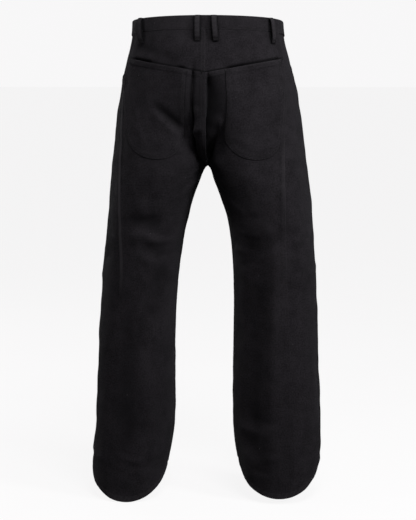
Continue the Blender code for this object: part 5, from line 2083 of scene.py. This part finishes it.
@dataclass
class Studio:
    """A pale floor, soft lights and the camera of the photograph."""

    floor: float = -1.0405
    floor_half: float = 80.0
    camera: Triple = (-0.172016, 3.39564581, -0.08)
    aim: Triple = (0.0, 0.0, -0.505)
    lens: float = 105.664
    sensor: float = 36.0
    sky_seen: float = 0.935
    sky_light: float = 0.115

    @staticmethod
    def facing(spot: Triple, aim: Triple) -> Euler:
        """The turn of a light or camera that stands at a spot and faces a point."""
        return (Vector(aim) - Vector(spot)).to_track_quat("-Z", "Y").to_euler()

    def light(self, name: str, spot: tuple, size: tuple, power: float, aim: tuple) -> None:
        """Adds a soft box.

        Args:
            name: The light's name.
            spot: Where it stands.
            size: Its width and height.
            power: In watts.
            aim: The point that it faces.
        """
        lamp = bpy.data.lights.new(name, "AREA")
        lamp.shape, lamp.size, lamp.size_y, lamp.energy = "RECTANGLE", size[0], size[1], power
        made = bpy.data.objects.new(name, lamp)
        made.location = spot
        made.rotation_euler = self.facing(spot, aim)
        bpy.context.scene.collection.objects.link(made)

    def build(self) -> None:
        """Makes the floor, the lights, the world and the camera."""
        half = self.floor_half
        turns = ((-half, -half), (half, -half), (half, half), (-half, half))
        corners = [(x, y, self.floor) for x, y in turns]
        floor = add_piece("studio_floor", corners, [(0, 1, 2, 3)], FloorFinish().material())
        floor.visible_diffuse = False
        floor.visible_glossy = False
        for name, spot, size, power, aim in (
            ("box_left", (2.8, 0.8, 0.4), (0.8, 1.4), 11.0, -0.2),
            ("box_right", (-2.4, 1.5, 1.05), (0.7, 1.2), 55.0, -0.05),
            ("box_top", (-0.5, 1.7, 2.0), (1.0, 1.0), 60.0, 0.0),
            ("rim_left", (2.2, -2.0, 0.3), (1.0, 2.0), 15.0, -0.5),
            ("rim_right", (-2.2, -2.0, 0.3), (1.0, 2.0), 2.0, -0.5),
        ):
            self.light(name, spot, size, power, (0, 0, aim))
        world = bpy.data.worlds.new("studio")
        world.use_nodes = True
        tree = world.node_tree
        sky = tree.nodes["Background"]
        sky.inputs["Color"].default_value = (1.0, 0.995, 1.0, 1.0)
        seen = tree.nodes.new("ShaderNodeLightPath")
        power = tree.nodes.new("ShaderNodeMapRange")
        power.inputs["To Min"].default_value = self.sky_light
        power.inputs["To Max"].default_value = self.sky_seen
        tree.links.new(seen.outputs["Is Camera Ray"], power.inputs["Value"])
        tree.links.new(power.outputs["Result"], sky.inputs["Strength"])
        bpy.context.scene.world = world
        bpy.context.scene.view_settings.view_transform = "Standard"
        data = bpy.data.cameras.new("camera")
        data.lens, data.sensor_width, data.sensor_fit = self.lens, self.sensor, "AUTO"
        camera = bpy.data.objects.new("camera", data)
        camera.location = self.camera
        camera.rotation_euler = self.facing(self.camera, self.aim)
        bpy.context.scene.collection.objects.link(camera)
        bpy.context.scene.camera = camera


def main() -> None:
    """Builds the jeans and the studio, and logs the size of each piece of the jeans."""
    logging.basicConfig(level=logging.INFO, format="%(name)s %(message)s")
    finishes = Finishes.make()
    made = panels()
    Waistband().build(finishes)
    for name, panel in made.items():
        if panel.face is Face.BACK:
            piece = panel.cloth().build(name, finishes.denim)
            declare(piece, name, [name])
    for side, outline, flat, area, gaps in (
        (Side.LEFT, POCKET_LEFT, (0.185, 0.205), 0.0325, ((0.13, 0.09), (0.84, 0.13))),
        (Side.RIGHT, POCKET_RIGHT, (0.160, 0.205), 0.0275, ((0.09, 0.07), (0.84, 0.11))),
    ):
        FrontPocket(side).build(made[f"front_{side.tag}"], finishes)
        BackPocket(side, outline, flat, area, gaps).build(made[f"back_{side.tag}"], finishes)
    SeamSewing(made).build(finishes)
    FlyFront().build(finishes)
    for name, side, v, lean in LOOPS:
        BeltLoop(name, side, v, lean).build(finishes)
    WaistButton().build(finishes)
    Studio().build()


if __name__ == "__main__":
    main()
